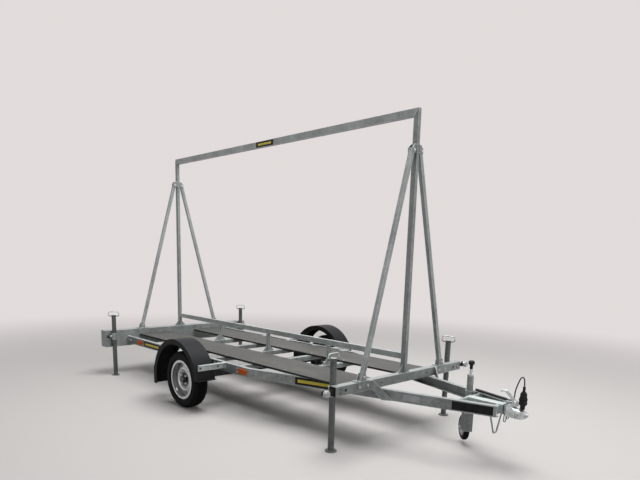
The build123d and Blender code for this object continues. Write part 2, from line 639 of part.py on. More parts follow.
def stand_clamp(x, y, wall_x):
    """A collar welded to its beam's face at wall_x."""
    collar = upright_rod(x, y, CLAMP_BOTTOM, CLAMP_BOTTOM + CLAMP_HEIGHT, CLAMP_OFFSET)
    pad = block(x, wall_x, y - 24, y + 24, CLAMP_BOTTOM, CLAMP_BOTTOM + CLAMP_HEIGHT)
    beam_room = block(wall_x, wall_x + math.copysign(40, wall_x - x), y - 60, y + 60,
                      CLAMP_BOTTOM, CLAMP_BOTTOM + CLAMP_HEIGHT)
    bore = upright_rod(x, y, CLAMP_BOTTOM, CLAMP_BOTTOM + CLAMP_HEIGHT, STAND_RADIUS + STAND_CLEARANCE)
    return collar + pad - beam_room - bore


def clamp_handle(x, y):
    """Black-knobbed screw on the collar's outboard side, left stands."""
    z = CLAMP_BOTTOM + CLAMP_HEIGHT / 2
    screw = cross_rod(x, z, y + CLAMP_OFFSET, y + CLAMP_OFFSET + 26, 8)
    knob = cross_rod(x, z, y + CLAMP_OFFSET + 26, y + CLAMP_OFFSET + 48, 20)
    return screw + knob


# ---------------------------------------------------------------- drawbar head
def coupling_base():
    """The coupling's square seat tube, held between the rails by two plates."""
    x0 = RAIL_FRONT_X - SEAT_LENGTH
    half = HEAD_WIDTH / 2 - SEAT_WALL
    z0 = RAIL_TOP - SEAT_HEIGHT
    tube = block(x0, RAIL_FRONT_X + SEAT_AHEAD, -half, half, z0, RAIL_TOP)
    for behind in (SEAT_LENGTH - 20, 26):
        x = RAIL_FRONT_X - behind
        room = rail_face_y(x) - RAIL_WALL / math.cos(TAPER_ANGLE)
        tube += block(x - BRACKET_PLATE, x, -room, room, RAIL_BOTTOM + RAIL_WALL, RAIL_TOP - RAIL_WALL)
    return tube - block(x0, RAIL_FRONT_X + SEAT_AHEAD, -half + SEAT_WALL, half - SEAT_WALL,
                        z0 + SEAT_WALL, RAIL_TOP - SEAT_WALL)


def breakaway_cable():
    """Safety cable: a ring round the seat tube with two loops hanging under it."""
    x = RAIL_FRONT_X + SEAT_AHEAD / 2
    room = CABLE_RADIUS + SEAT_GAP
    half = HEAD_WIDTH / 2 - SEAT_WALL + 2 * CABLE_RADIUS
    top, bottom = RAIL_TOP + room, RAIL_TOP - SEAT_HEIGHT - room
    beside = 2 * CABLE_RADIUS + SEAT_GAP
    loops = [(0, 0, (top + bottom) / 2, 2 * half, top - bottom, 7),
             (beside, -20, bottom - 30, 32, 60, 15.5), (beside, 20, bottom - 23, 32, 46, 15.5)]
    solids = []
    for ahead, y, z, width, height, corner in loops:
        plane = Plane(origin=(x + ahead, y, z), x_dir=(0, 1, 0), z_dir=(1, 0, 0))
        wire = (plane * RectangleRounded(width, height, corner)).face().outer_wire()
        section = Plane(origin=wire @ 0, z_dir=wire % 0) * Circle(CABLE_RADIUS)
        solids.append(sweep(section, path=wire).solid())
    return Compound(children=solids)


def coupling_head():
    """Pressed coupling: a shank ahead of the seat tube, a rounded nose and the ball socket."""
    half, slim = HEAD_WIDTH / 2, NOSE_WIDTH / 2
    x0 = RAIL_FRONT_X + SEAT_AHEAD + SEAT_GAP
    nose_top = HEAD_TOP - NOSE_DROP
    shank = prism([(x0, -half), (x0, half), (BALL_X, slim), (BALL_X, -slim)],
                  Plane(origin=(0, 0, HEAD_BOTTOM)), HEAD_TOP - HEAD_BOTTOM)
    nose = upright_rod(BALL_X, 0, HEAD_BOTTOM, nose_top, slim)
    outline = [(BALL_X, -slim), (BALL_X, slim), (X_TIP - 8, 22), (X_TIP, 10), (X_TIP, -10), (X_TIP - 8, -22)]
    nose += prism(outline, Plane(origin=(0, 0, HEAD_BOTTOM)), nose_top - NOSE_DROP - HEAD_BOTTOM)
    head = shank + nose
    head -= upright_rod(BALL_X, 0, HEAD_BOTTOM, BALL_HEIGHT, BALL_RADIUS)
    return head - Pos(BALL_X, 0, BALL_HEIGHT) * Sphere(BALL_RADIUS)


def coupling_lever():
    plane = Plane(origin=(0, 16, 0), x_dir=(1, 0, 0), z_dir=(0, -1, 0))
    z = HEAD_TOP + SEAT_GAP
    top = HEAD_TOP + LEVER_RISE
    points = [(BALL_X - 62, z), (BALL_X - 4, z), (BALL_X - 6, top - 58), (BALL_X - 96, top),
              (BALL_X - 118, top), (BALL_X - 138, top - 18), (BALL_X - 132, top - 24),
              (BALL_X - 114, top - 12), (BALL_X - 99, top - 12), (BALL_X - 62, top - 40)]
    return prism(points, plane, 32)


def plug_holder():
    """The cup on the nose that the plug is parked in."""
    foot = HEAD_TOP - NOSE_DROP
    bottom = PLUG_BOTTOM - BRACKET_PLATE
    stem = upright_rod(PLUG_X, 0, foot, bottom, 16)
    cup = upright_rod(PLUG_X, 0, bottom, HEAD_TOP + HOLDER_HEIGHT, HOLDER_RADIUS)
    keep_off = block(BALL_X - 60, BALL_X + SEAT_GAP, -40, 40, foot - 20, HEAD_TOP + HOLDER_HEIGHT + 20)
    bore = upright_rod(PLUG_X, 0, PLUG_BOTTOM, HEAD_TOP + HOLDER_HEIGHT, PLUG_RADIUS + SEAT_GAP)
    return stem + cup - bore - keep_off


def skid_hoop():
    """A bent rod that hangs under the rails' front ends."""
    y = rail_face_y(HOOP_X) - RAIL_FLANGE
    top, low = RAIL_BOTTOM, RAIL_BOTTOM - HOOP_DROP
    corners = [(HOOP_X, -y, top), (HOOP_X, -22, low), (HOOP_X, 22, low), (HOOP_X, y, top)]
    path = FilletPolyline(*corners, radius=20)
    section = Plane(origin=path @ 0, z_dir=path % 0) * Circle(6)
    hoop = sweep(section, path=path)
    return hoop - block(HOOP_X - 20, HOOP_X + 20, -2 * y, 2 * y, RAIL_BOTTOM, RAIL_BOTTOM + 40)


# ---------------------------------------------------------------- jockey wheel
def jockey_clamp():
    """A collar bolted to the left rail's flanges."""
    z0, z1 = RAIL_BOTTOM + 8, RAIL_TOP + 6
    collar = upright_rod(JOCKEY_X, JOCKEY_Y, z0, z1, JOCKEY_RADIUS + 8)
    half = JOCKEY_PAD_LENGTH / 2
    pad = block(-half, half, 0, JOCKEY_REACH - RAIL_WALL, z0, RAIL_TOP - RAIL_WALL)
    pad = Rot(0, 0, -math.degrees(TAPER_ANGLE)) * pad
    body = collar + Pos(JOCKEY_X, JOCKEY_Y, 0) * pad
    body -= left_rail()
    keep = max(body.solids(), key=lambda s: s.volume)
    return keep - upright_rod(JOCKEY_X, JOCKEY_Y, z0, z1, JOCKEY_RADIUS + STAND_CLEARANCE)


def jockey_outer():
    bore = JOCKEY_INNER_RADIUS + STAND_CLEARANCE
    tube = upright_rod(JOCKEY_X, JOCKEY_Y, JOCKEY_BOTTOM, JOCKEY_TOP, JOCKEY_RADIUS)
    return tube - upright_rod(JOCKEY_X, JOCKEY_Y, JOCKEY_BOTTOM, JOCKEY_TOP - 6, bore)


def jockey_crank():
    """Spindle head and the black knob on top of the outer tube."""
    z = JOCKEY_TOP + SEAT_GAP
    spindle = upright_rod(JOCKEY_X, JOCKEY_Y, z, z + 44, 9)
    neck = upright_rod(JOCKEY_X, JOCKEY_Y, z + 44, z + 78, 13)
    knob = upright_rod(JOCKEY_X, JOCKEY_Y, z + 78, z + 108, 24)
    return spindle + neck + fillet(knob.edges(), 8)


def jockey_inner():
    tube = upright_rod(JOCKEY_X, JOCKEY_Y, FORK_TOP + SEAT_GAP, JOCKEY_TOP - 60, JOCKEY_INNER_RADIUS)
    return tube


def caster(shape):
    """Turns what is built trailing towards +X about the jockey's axis to its parked heading."""
    return Pos(JOCKEY_X, JOCKEY_Y, 0) * Rot(0, 0, JOCKEY_SWIVEL) * shape


def jockey_fork():
    """A pressed fork, open behind: crown, web and two cheeks, with the wheel's pin."""
    half = JOCKEY_WHEEL_WIDTH / 2 + 5
    z = JOCKEY_AXLE_HEIGHT
    front = JOCKEY_TRAIL - JOCKEY_WHEEL_RADIUS - 12
    crown = block(front, 52, -half - FORK_PLATE, half + FORK_PLATE, FORK_TOP - FORK_PLATE, FORK_TOP)
    web = block(front, front + FORK_PLATE, -half, half, z - 4, FORK_TOP - FORK_PLATE)
    cheek = prism([(front, FORK_TOP - 2), (52, FORK_TOP - 2), (JOCKEY_TRAIL + 16, z + 8),
                   (JOCKEY_TRAIL + 10, z - 14), (JOCKEY_TRAIL - 10, z - 14), (front, z - 4)],
                  Plane(origin=(0, half + FORK_PLATE, 0), x_dir=(1, 0, 0), z_dir=(0, -1, 0)), FORK_PLATE)
    pin = Pos(JOCKEY_TRAIL, 0, z) * Rot(90, 0, 0) * Cylinder(6, 2 * half)
    return caster(crown + web + cheek + mirror(cheek, Plane.XZ) + pin)


def jockey_wheel():
    half = JOCKEY_WHEEL_WIDTH / 2
    r = JOCKEY_WHEEL_RADIUS
    body = spun([(6 + STUB_CLEARANCE, -half), (30, -half), (34, -half + 12), (60, -half + 12), (64, -half),
                 (r - 8, -half), (r, -half + 10), (r, half - 10), (r - 8, half),
                 (64, half), (60, half - 12), (34, half - 12), (30, half), (6 + STUB_CLEARANCE, half)])
    return caster(Pos(JOCKEY_TRAIL, 0, JOCKEY_AXLE_HEIGHT) * body)


# ---------------------------------------------------------------- lamps and cords
def marker_arm():
    """The left marker lamp's rubber arm, on the end cap of the front beam."""
    half = FRONT_BEAM_WIDTH / 2
    x1 = FRONT_BEAM_X + BEAM_DEPTH
    z = RAIL_TOP + BEAM_HEIGHT / 2
    cap = block(FRONT_BEAM_X, x1, half, half + 6, RAIL_TOP, FRONT_BEAM_TOP)
    arm = block(x1 - 30, x1 - 8, half + 6, half + MARKER_REACH, z - 13, z + 13)
    back = Pos(x1 - 19, half + MARKER_REACH, z) * Rot(0, 90, 0) * Cylinder(MARKER_RADIUS - 3, 22)
    return cap + arm + back


def marker_lens():
    x1 = FRONT_BEAM_X + BEAM_DEPTH
    lens = Rot(0, 90, 0) * Cylinder(MARKER_RADIUS, 26)
    lens = fillet(lens.edges().sort_by(Axis.X)[-1], 9)
    return Pos(x1 + 5, FRONT_BEAM_WIDTH / 2 + MARKER_REACH, RAIL_TOP + BEAM_HEIGHT / 2) * lens


def rear_lamp():
    """Lamp on the left lamp plate, in the middle of what the plate leaves inside the beam's end."""
    y = REAR_BEAM_WIDTH / 2 - (LAMP_PLATE_WIDTH + SHEET) / 2
    z = (REAR_BEAM_BOTTOM + REAR_BEAM_TOP) / 2
    lamp = Box(LAMP_DEPTH, LAMP_WIDTH, LAMP_HEIGHT)
    return Pos(REAR_LAMP_BACK_X - LAMP_DEPTH / 2, y, z) * fillet(lamp.edges().filter_by(Axis.X), 10)


def side_reflectors():
    solids = []
    for x in (AXLE_X - REFLECTOR_BEHIND, AXLE_X + REFLECTOR_AHEAD):
        z = (RAIL_BOTTOM + RAIL_TOP) / 2
        h, v = REFLECTOR_LENGTH / 2, REFLECTOR_HEIGHT / 2
        lamp = block(x - h, x + h, RAIL_SPREAD, RAIL_SPREAD + 12, z - v, z + v)
        solids.append(fillet(lamp.edges().filter_by(Axis.Y), 6))
    return Compound(children=solids)


def cord(points, radius):
    """A cord's solid: straight runs joined by arcs as large as the runs allow."""
    pts = [Vector(*p) for p in points]
    radii = []
    for a, b, c in zip(pts, pts[1:], pts[2:]):
        turn = (b - a).get_angle(c - b)
        radii.append(0.45 * min((b - a).length, (c - b).length) / math.tan(math.radians(turn / 2)))
    print("cord radii", [round(r) for r in radii])
    path = FilletPolyline(*points, radius=radii)
    section = Plane(origin=path @ 0, z_dir=path % 0) * Circle(radius)
    return sweep(section, path=path)


def plug():
    body = upright_rod(PLUG_X, 0, PLUG_BOTTOM + SEAT_GAP, PLUG_BOTTOM + HOLDER_HEIGHT - HOLDER_FLOOR, PLUG_RADIUS)
    body += upright_rod(PLUG_X, 0, PLUG_BOTTOM + HOLDER_HEIGHT - HOLDER_FLOOR, PLUG_TOP - 46, 24)
    body += upright_rod(PLUG_X, 0, PLUG_TOP - 46, PLUG_TOP, 13)
    return body


def lead_conduit():
    """Corrugated sleeve of the lighting lead, on the left rail's top flange."""
    rear, front = Vector(*CONDUIT_REAR), Vector(*CONDUIT_FRONT)
    return extrude(Plane(origin=rear, z_dir=front - rear) * Circle(CONDUIT_RADIUS), (front - rear).length)


# ---------------------------------------------------------------- writing the parts
os.makedirs("parts", exist_ok=True)

rail = left_rail()
save("rail_left", rail)
save("rail_right", right_of(rail))
save("cross_members", cross_members(rail))
save("rear_beam", rear_beam())
save("front_beam", front_beam())
save("drawbar_gussets", both_sides(drawbar_gusset()))
save("axle_beam", axle_beam())
save("axle_arms", both_sides(axle_arm()))
save("plank_left", plank())
save("plank_right", right_of(plank()))

for name, side in (("left", 1), ("right", -1)):
    save(f"tyre_{name}", wheel_place(side) * tyre())
    save(f"rim_{name}", wheel_place(side) * rim())
    save(f"hub_{name}", wheel_place(side) * hub())

save("mudguard_left", mudguard())
save("mudguard_right", right_of(mudguard()))
brackets = [guard_bracket(turn) for turn in (1, -1)]
save("mudguard_brackets", both_sides(Compound(children=brackets)))

save("upright_rear", upright(BANNER_REAR_X, REAR_BEAM_TOP))
save("upright_front", upright(BANNER_FRONT_X - UPRIGHT_DEPTH, FRONT_BEAM_TOP))
save("top_beam", top_beam())
save("bottom_rail", bottom_rail())
save("rail_posts", Compound(children=[rail_post(x) for x in POST_XS]))

ends = {"rear": (BANNER_REAR_X, REAR_WEB_X, REAR_BEAM_TOP),
        "front": (BANNER_FRONT_X - UPRIGHT_DEPTH, BANNER_FRONT_X, FRONT_BEAM_TOP)}
feet = []
for name, (x0, face_x, base) in ends.items():
    middle = x0 + UPRIGHT_DEPTH / 2
    save(f"brace_{name}_left", brace(middle, base))
    save(f"brace_{name}_right", right_of(brace(middle, base)))
    feet.append(brace_foot(middle, face_x, base))
save("brace_feet", both_sides(Compound(children=feet)))
save("brace_collars", Compound(children=[brace_collar(x0) for x0, _, _ in ends.values()]))

stands = {"front": (FRONT_STAND_X, FRONT_STAND_SPREAD, FRONT_BEAM_X),
          "rear": (REAR_STAND_X, REAR_STAND_SPREAD, REAR_WEB_X)}
RING_HEADINGS = {"front_left": 20, "front_right": 95, "rear_left": 30, "rear_right": 50}
for name, (x, y, wall_x) in stands.items():
    save(f"stand_{name}_left", stand(x, y, RING_HEADINGS[f"{name}_left"]))
    save(f"stand_{name}_right", stand(x, -y, RING_HEADINGS[f"{name}_right"]))
clamps = [stand_clamp(x, y, wall_x) for x, y, wall_x in stands.values()]
handles = [clamp_handle(x, y) for x, y, _ in stands.values()]
save("stand_clamps", both_sides(Compound(children=clamps)))
save("clamp_handles", both_sides(Compound(children=handles)))

save("coupling_base", coupling_base())
save("coupling_head", coupling_head())
save("breakaway_cable", breakaway_cable())
save("coupling_lever", coupling_lever())
save("plug_holder", plug_holder())
save("plug", plug())
save("skid_hoop", skid_hoop())
save("lead_conduit", lead_conduit())
save("lighting_lead", cord(LEAD_ROUTE, LEAD_RADIUS))

save("jockey_clamp", jockey_clamp())
save("jockey_outer", jockey_outer())
save("jockey_crank", jockey_crank())
save("jockey_inner", jockey_inner())
save("jockey_fork", jockey_fork())
save("jockey_wheel", jockey_wheel())

save("marker_arms", both_sides(marker_arm()))
save("marker_lenses", both_sides(marker_lens()))
save("rear_lamps", both_sides(rear_lamp()))
save("side_reflectors", both_sides(side_reflectors()))
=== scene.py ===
import math

import bmesh
import bpy
from mathutils import Matrix, Vector


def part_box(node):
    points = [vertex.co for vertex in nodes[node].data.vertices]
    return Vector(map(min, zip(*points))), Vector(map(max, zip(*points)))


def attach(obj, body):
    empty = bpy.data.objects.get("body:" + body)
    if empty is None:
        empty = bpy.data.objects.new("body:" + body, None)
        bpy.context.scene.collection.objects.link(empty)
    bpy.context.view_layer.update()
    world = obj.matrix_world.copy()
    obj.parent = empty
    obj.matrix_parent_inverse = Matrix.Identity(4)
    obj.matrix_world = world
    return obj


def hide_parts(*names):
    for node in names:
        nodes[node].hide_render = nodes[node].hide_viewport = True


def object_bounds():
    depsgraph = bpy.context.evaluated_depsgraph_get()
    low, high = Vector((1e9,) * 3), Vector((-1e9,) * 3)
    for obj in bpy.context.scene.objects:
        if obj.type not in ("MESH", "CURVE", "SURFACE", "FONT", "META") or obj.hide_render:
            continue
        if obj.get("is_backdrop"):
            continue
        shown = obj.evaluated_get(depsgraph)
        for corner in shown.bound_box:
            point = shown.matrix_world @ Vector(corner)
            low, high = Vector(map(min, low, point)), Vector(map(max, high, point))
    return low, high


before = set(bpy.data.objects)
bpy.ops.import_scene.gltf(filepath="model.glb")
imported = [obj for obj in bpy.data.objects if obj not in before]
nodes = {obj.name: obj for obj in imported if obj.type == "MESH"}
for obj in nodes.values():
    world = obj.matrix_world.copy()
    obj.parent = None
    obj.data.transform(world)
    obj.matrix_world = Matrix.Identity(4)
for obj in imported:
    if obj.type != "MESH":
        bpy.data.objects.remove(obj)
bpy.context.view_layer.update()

# ---- Viewpoint and light ----
# A person's eye level, off the trailer's front right corner, looking across the drawbar. A broad
# soft lamp hangs overhead, a smaller one stands ahead, and a weak one fills the near side.
EYE = Vector((3.9034, -3.5369, 1.4295))
HEADING, TILT, ROLL = math.radians(46.136), math.radians(9.986), math.radians(1.492)

forward = Vector((-math.sin(HEADING) * math.cos(TILT), math.cos(HEADING) * math.cos(TILT), -math.sin(TILT)))
level = forward.cross(Vector((0, 0, 1))).normalized()
above = level.cross(forward)
side = level * math.cos(ROLL) + above * math.sin(ROLL)
up = above * math.cos(ROLL) - level * math.sin(ROLL)

camera = bpy.data.objects.new("camera", bpy.data.cameras.new("camera"))
camera.data.sensor_width = 36.0
camera.data.lens = 30.450
camera.data.shift_x = 0.0097
camera.data.shift_y = 0.1751
camera.data.clip_end = 200.0
camera.matrix_world = Matrix((side, up, -forward)).transposed().to_4x4()
camera.location = EYE
bpy.context.scene.collection.objects.link(camera)
bpy.context.scene.camera = camera
bpy.context.scene.view_settings.view_transform = "Standard"


def lamp(name, place, target, size, power):
    light = bpy.data.lights.new(name, "AREA")
    light.shape = "DISK"
    light.size = size
    light.energy = power
    holder = bpy.data.objects.new(name, light)
    holder.location = place
    holder.rotation_euler = (Vector(target) - Vector(place)).to_track_quat("-Z", "Y").to_euler()
    bpy.context.scene.collection.objects.link(holder)


lamp("overhead_softbox", (0.4, 0.6, 6.5), (0, 0.2, 0), 5.0, 450)
lamp("front_softbox", (7.5, 0.6, 3.2), (0, 0, 0.9), 3.0, 120)
lamp("side_fill", (1.0, -7.5, 3.0), (0, 0, 0.8), 4.0, 22)


# ---- Studio floor and backdrop ----
# A plain pale painted floor that runs out into the same pale light as the backdrop, so no line
# shows between them. Only the floor near the trailer takes its soft shadow.
class Socket:
    """One output of a shader node, so that shader sums read as plain expressions."""

    def __init__(self, finish, output):
        self.finish, self.output = finish, output

    def _join(self, kind, *others):
        return self.finish.node("ShaderNodeMath", {"operation": kind}, dict(enumerate((self, *others))))[0]

    def __add__(self, other):
        return self._join("ADD", other)

    def __mul__(self, other):
        return self._join("MULTIPLY", other)

    def __gt__(self, other):
        return self._join("GREATER_THAN", other)

    def __lt__(self, other):
        return self._join("LESS_THAN", other)

    def __abs__(self):
        return self._join("ABSOLUTE")

    def sine(self):
        return self._join("SINE")

    __radd__, __rmul__ = __add__, __mul__


class Finish:
    """A material under construction, with its principled shader."""

    def __init__(self, name, colour=(0.5, 0.5, 0.5), roughness=0.5, metallic=0.0, coat=0.0, specular=0.5):
        self.material = bpy.data.materials.new(name)
        self.material.use_nodes = True
        self.tree = self.material.node_tree
        self.shader = self.tree.nodes["Principled BSDF"]
        self.shader.inputs["Base Color"].default_value = (*colour, 1.0)
        self.shader.inputs["Roughness"].default_value = roughness
        self.shader.inputs["Metallic"].default_value = metallic
        self.shader.inputs["Coat Weight"].default_value = coat
        self.shader.inputs["Specular IOR Level"].default_value = specular

    def node(self, kind, settings=None, inputs=None):
        """A node with its settings made first, then its sockets' values or links."""
        made = self.tree.nodes.new(kind)
        for key, value in (settings or {}).items():
            if key == "stops":
                ramp = made.color_ramp
                while len(ramp.elements) < len(value):
                    ramp.elements.new(0.5)
                for element, (place, colour) in zip(ramp.elements, value):
                    element.position, element.color = place, (*colour, 1.0)
            else:
                setattr(made, key, value)
        for key, value in (inputs or {}).items():
            if isinstance(value, Socket):
                self.tree.links.new(value.output, made.inputs[key])
            else:
                made.inputs[key].default_value = value
        return [Socket(self, output) for output in made.outputs]

    def place(self):
        """Object coordinates, which are the trailer's own metres."""
        return self.node("ShaderNodeTexCoord")[3]

    def axes(self):
        return self.node("ShaderNodeSeparateXYZ", None, {0: self.place()})

    def facing(self):
        """The face's own direction, split into its three parts."""
        normal = self.node("ShaderNodeTexCoord")[1]
        return self.node("ShaderNodeSeparateXYZ", None, {0: normal})

    def noise(self, scale, detail=3.0, stretch=(1, 1, 1)):
        where = self.node("ShaderNodeMapping", None, {"Vector": self.place(), "Scale": stretch})[0]
        return self.node("ShaderNodeTexNoise", None, {"Vector": where, "Scale": scale, "Detail": detail})[0]

    def cells(self, scale):
        """A random tone for each cell of a cracked pattern."""
        return self.node("ShaderNodeTexVoronoi", None, {"Vector": self.place(), "Scale": scale})[1]

    def between(self, value, low, high, at_low, at_high):
        """Turns low..high of a value into at_low..at_high, and stops at both ends."""
        return self.node("ShaderNodeMapRange", None, {0: value, 1: low, 2: high, 3: at_low, 4: at_high})[0]

    def edges(self, radius):
        """1 along sharp edges, 0 on flat faces."""
        rounded = self.node("ShaderNodeBevel", {"samples": 4}, {"Radius": radius})[0]
        flat = self.node("ShaderNodeNewGeometry")[1]
        same = self.node("ShaderNodeVectorMath", {"operation": "DOT_PRODUCT"}, {0: rounded, 1: flat})[1]
        return self.between(same, 0.995, 0.90, 0.0, 1.0)

    def ramp(self, value, stops):
        return self.node("ShaderNodeValToRGB", {"stops": stops}, {"Fac": value})[0]

    def mix(self, factor, first, second):
        chosen = [value if isinstance(value, Socket) else (*value, 1.0) for value in (first, second)]
        return self.node("ShaderNodeMix", {"data_type": "RGBA"}, {0: factor, 6: chosen[0], 7: chosen[1]})[2]

    def feed(self, **inputs):
        for socket, value in inputs.items():
            self.tree.links.new(value.output, self.shader.inputs[socket.replace("_", " ")])

    def bump(self, height, depth, strength):
        made = self.node("ShaderNodeBump", None, {"Height": height, "Distance": depth, "Strength": strength})
        self.feed(Normal=made[0])

    def paint(self, *names):
        """Gives this finish to CAD nodes."""
        for name in names:
            nodes[name].data.materials.clear()
            nodes[name].data.materials.append(self.material)


BACKDROP = (0.760, 0.712, 0.708)
FLOOR_TONE = (0.590, 0.568, 0.550)
FLOOR_BOUNCE = (0.20, 0.20, 0.20)
FADE_FROM, FADE_TO = 2.6, 9.0

paint_floor = Finish("pale_floor", roughness=0.7)
reach = paint_floor.node("ShaderNodeVectorMath", {"operation": "LENGTH"}, {0: paint_floor.place()})[1]
fade = paint_floor.node("ShaderNodeMapRange", {"interpolation_type": "SMOOTHSTEP"},
                        {0: reach, 1: FADE_FROM, 2: FADE_TO, 3: 0.0, 4: 1.0})[0]
rays = paint_floor.node("ShaderNodeLightPath")
seen = rays[0] + rays[3] + rays[6]
paint_floor.feed(Base_Color=paint_floor.mix(seen > 0.5, FLOOR_BOUNCE, FLOOR_TONE))
glow = paint_floor.node("ShaderNodeEmission", None, {"Color": (*BACKDROP, 1.0), "Strength": 1.0})[0]
painted = Socket(paint_floor, paint_floor.shader.outputs[0])
blend = paint_floor.node("ShaderNodeMixShader", None, {0: fade * (seen > 0.5), 1: painted, 2: glow})[0]
paint_floor.tree.links.new(blend.output, paint_floor.tree.nodes["Material Output"].inputs["Surface"])

bm = bmesh.new()
bmesh.ops.create_circle(bm, cap_ends=True, segments=64, radius=80.0)
floor_mesh = bpy.data.meshes.new("floor")
bm.to_mesh(floor_mesh)
bm.free()
floor = bpy.data.objects.new("floor", floor_mesh)
floor.data.materials.append(paint_floor.material)
bpy.context.scene.collection.objects.link(floor)
floor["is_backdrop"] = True

world = bpy.data.worlds.new("studio")
bpy.context.scene.world = world
world.use_nodes = True
sky = world.node_tree
shown = sky.nodes["Background"]
shown.inputs["Color"].default_value = (*BACKDROP, 1.0)
lit = sky.nodes.new("ShaderNodeBackground")
lit.inputs["Color"].default_value = (0.93, 0.97, 1.0, 1.0)
lit.inputs["Strength"].default_value = 0.25
path = sky.nodes.new("ShaderNodeLightPath")
direct = sky.nodes["World Output"].inputs["Surface"]
choice = lit.outputs[0]
for kind in ("Is Camera Ray", "Is Glossy Ray", "Is Transmission Ray"):
    mixer = sky.nodes.new("ShaderNodeMixShader")
    sky.links.new(path.outputs[kind], mixer.inputs[0])
    sky.links.new(choice, mixer.inputs[1])
    sky.links.new(shown.outputs[0], mixer.inputs[2])
    choice = mixer.outputs[0]
sky.links.new(choice, direct)

# ---- Galvanised chassis and banner frame ----
# Folded and tubular steel, welded up and dipped whole in molten zinc, so that every face carries
# the same dull cloudy coat with faint crystals. Upward faces and sharp edges are painted lighter, as painted
# highlights.
SPANGLE = 48.0
ZINC_TINT = (0.91, 1.0, 0.98)


def grey(value, tint=ZINC_TINT):
    return tuple(value * part for part in tint)


def zinc_finish(name, dark, light, metallic):
    zinc = Finish(name, metallic=metallic)
    clouds = zinc.noise(4.0, 5.0)
    runs = zinc.noise(14.0, 4.0, (1, 1, 0.12))
    grains = zinc.noise(210.0, 2.0)
    crystals = zinc.cells(SPANGLE)
    tone = clouds * 0.38 + runs * 0.26 + grains * 0.2 + crystals * 0.16
    coat = zinc.ramp(tone, [(0.34, grey(dark)), (0.5, grey((dark + light) / 2)), (0.66, grey(light))])
    # Painted highlight: upward faces and sharp edges are painted lighter, standing in for the overhead lamp's
    # light.
    top_highlight = zinc.between(zinc.facing()[2], 0.7, 1.0, 0.0, 0.35)
    coat = zinc.mix(top_highlight, coat, grey(min(0.85, light * 1.9)))
    zinc.coat = zinc.mix(zinc.edges(0.004) * 0.85, coat, grey(min(0.9, light * 2.1)))
    zinc.feed(Base_Color=zinc.coat,
              Roughness=clouds * 0.22 + crystals * 0.12 + 0.26)
    zinc.bump(grains * 0.5 + crystals * 0.3 + clouds * 0.2, 0.0008, 0.35)
    return zinc


zinc = zinc_finish("galvanised_steel", 0.18, 0.40, 0.35)
zinc.paint("rail_left", "rail_right", "cross_members", "rear_beam", "front_beam", "drawbar_gussets",
           "upright_rear", "upright_front", "brace_feet", "brace_collars", "skid_hoop")
tube_bright = zinc_finish("frame_tube_zinc", 0.25, 0.52, 0.35)
tube_bright.paint("top_beam", "bottom_rail", "rail_posts", "brace_rear_left", "brace_rear_right",
                  "brace_front_left", "brace_front_right")
fresh_zinc = zinc_finish("fresh_zinc", 0.52, 0.76, 0.30)
fresh_zinc.paint("mudguard_brackets", "coupling_base")

RAIL_LOW, RAIL_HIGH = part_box("rail_left")
BEAM_LOW, BEAM_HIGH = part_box("front_beam")
REAR_LOW, REAR_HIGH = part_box("rear_beam")
Z = Vector((0, 0, 1))


def dressed(name, bm, finish, body, replaces=(), smooth_under=35):
    """Makes a bmesh one piece with its finish, soft-shaded but for its sharp edges, on its body."""
    bmesh.ops.recalc_face_normals(bm, faces=bm.faces)
    for face in bm.faces:
        face.smooth = True
    for edge in bm.edges:
        edge.smooth = len(edge.link_faces) == 2 and edge.calc_face_angle() < math.radians(smooth_under)
    mesh = bpy.data.meshes.new(name)
    bm.to_mesh(mesh)
    bm.free()
    piece = bpy.data.objects.new(name, mesh)
    piece.data.materials.append(finish.material)
    bpy.context.scene.collection.objects.link(piece)
    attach(piece, body)
    if replaces:
        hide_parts(*replaces)
    return piece


def seat(place, direction):
    """Turns what is built upwards on the origin so that it stands on a face at place."""
    return Matrix.Translation(Vector(place)) @ Z.rotation_difference(Vector(direction)).to_matrix().to_4x4()


def disc(bm, where, low, high, radius_low, radius_high, segments=16):
    bmesh.ops.create_cone(bm, cap_ends=True, segments=segments, radius1=radius_low, radius2=radius_high,
                          depth=high - low, matrix=where @ Matrix.Translation((0, 0, (low + high) / 2)))


def bolt(bm, place, direction, across=0.017):
    """A hexagon head on its washer, with the corners of the head turned off."""
    where = seat(place, direction)
    disc(bm, where, 0, 0.0022, across * 0.82, across * 0.80)
    disc(bm, where, 0.0022, 0.0022 + across * 0.42, across * 0.577, across * 0.577, 6)
    disc(bm, where, 0.0022 + across * 0.42, 0.0022 + across * 0.50, across * 0.577, across * 0.44, 6)


def nut(bm, place, direction, across=0.017):
    """A nut on its washer with the end of its bolt standing out."""
    bolt(bm, place, direction, across)
    disc(bm, seat(place, direction), 0.002 + across * 0.5, across * 0.85, across * 0.30, across * 0.26, 10)


def pull(bm, face):
    """Extrudes a face and returns the new one, still in place."""
    made = bmesh.ops.extrude_face_region(bm, geom=[face])["geom"]
    return next(item for item in made if isinstance(item, bmesh.types.BMFace))


def weld(bm, start, end, radius=0.003):
    """A rippled bead laid from start to end."""
    start, end = Vector(start), Vector(end)
    count = max(3, round((end - start).length / (radius * 1.6)))
    step = (end - start) / count
    face = bmesh.ops.create_circle(bm, cap_ends=True, segments=6, radius=radius * 0.7,
                                   matrix=seat(start, step))["verts"][0].link_faces[0]
    for i in range(count):
        face = pull(bm, face)
        middle = start + step * (i + 1)
        grow = 0.72 if i == count - 1 else (1.32 if i % 2 == 0 else 0.76)
        for vert in face.verts:
            vert.co = middle + (vert.co + step - middle) * grow


def hole(bm, place, direction, radius):
    """Painted shade for the dark inside of a punched hole, as a thin disc on the face."""
    disc(bm, seat(place, direction), 0, 0.0003, radius, radius, 16)


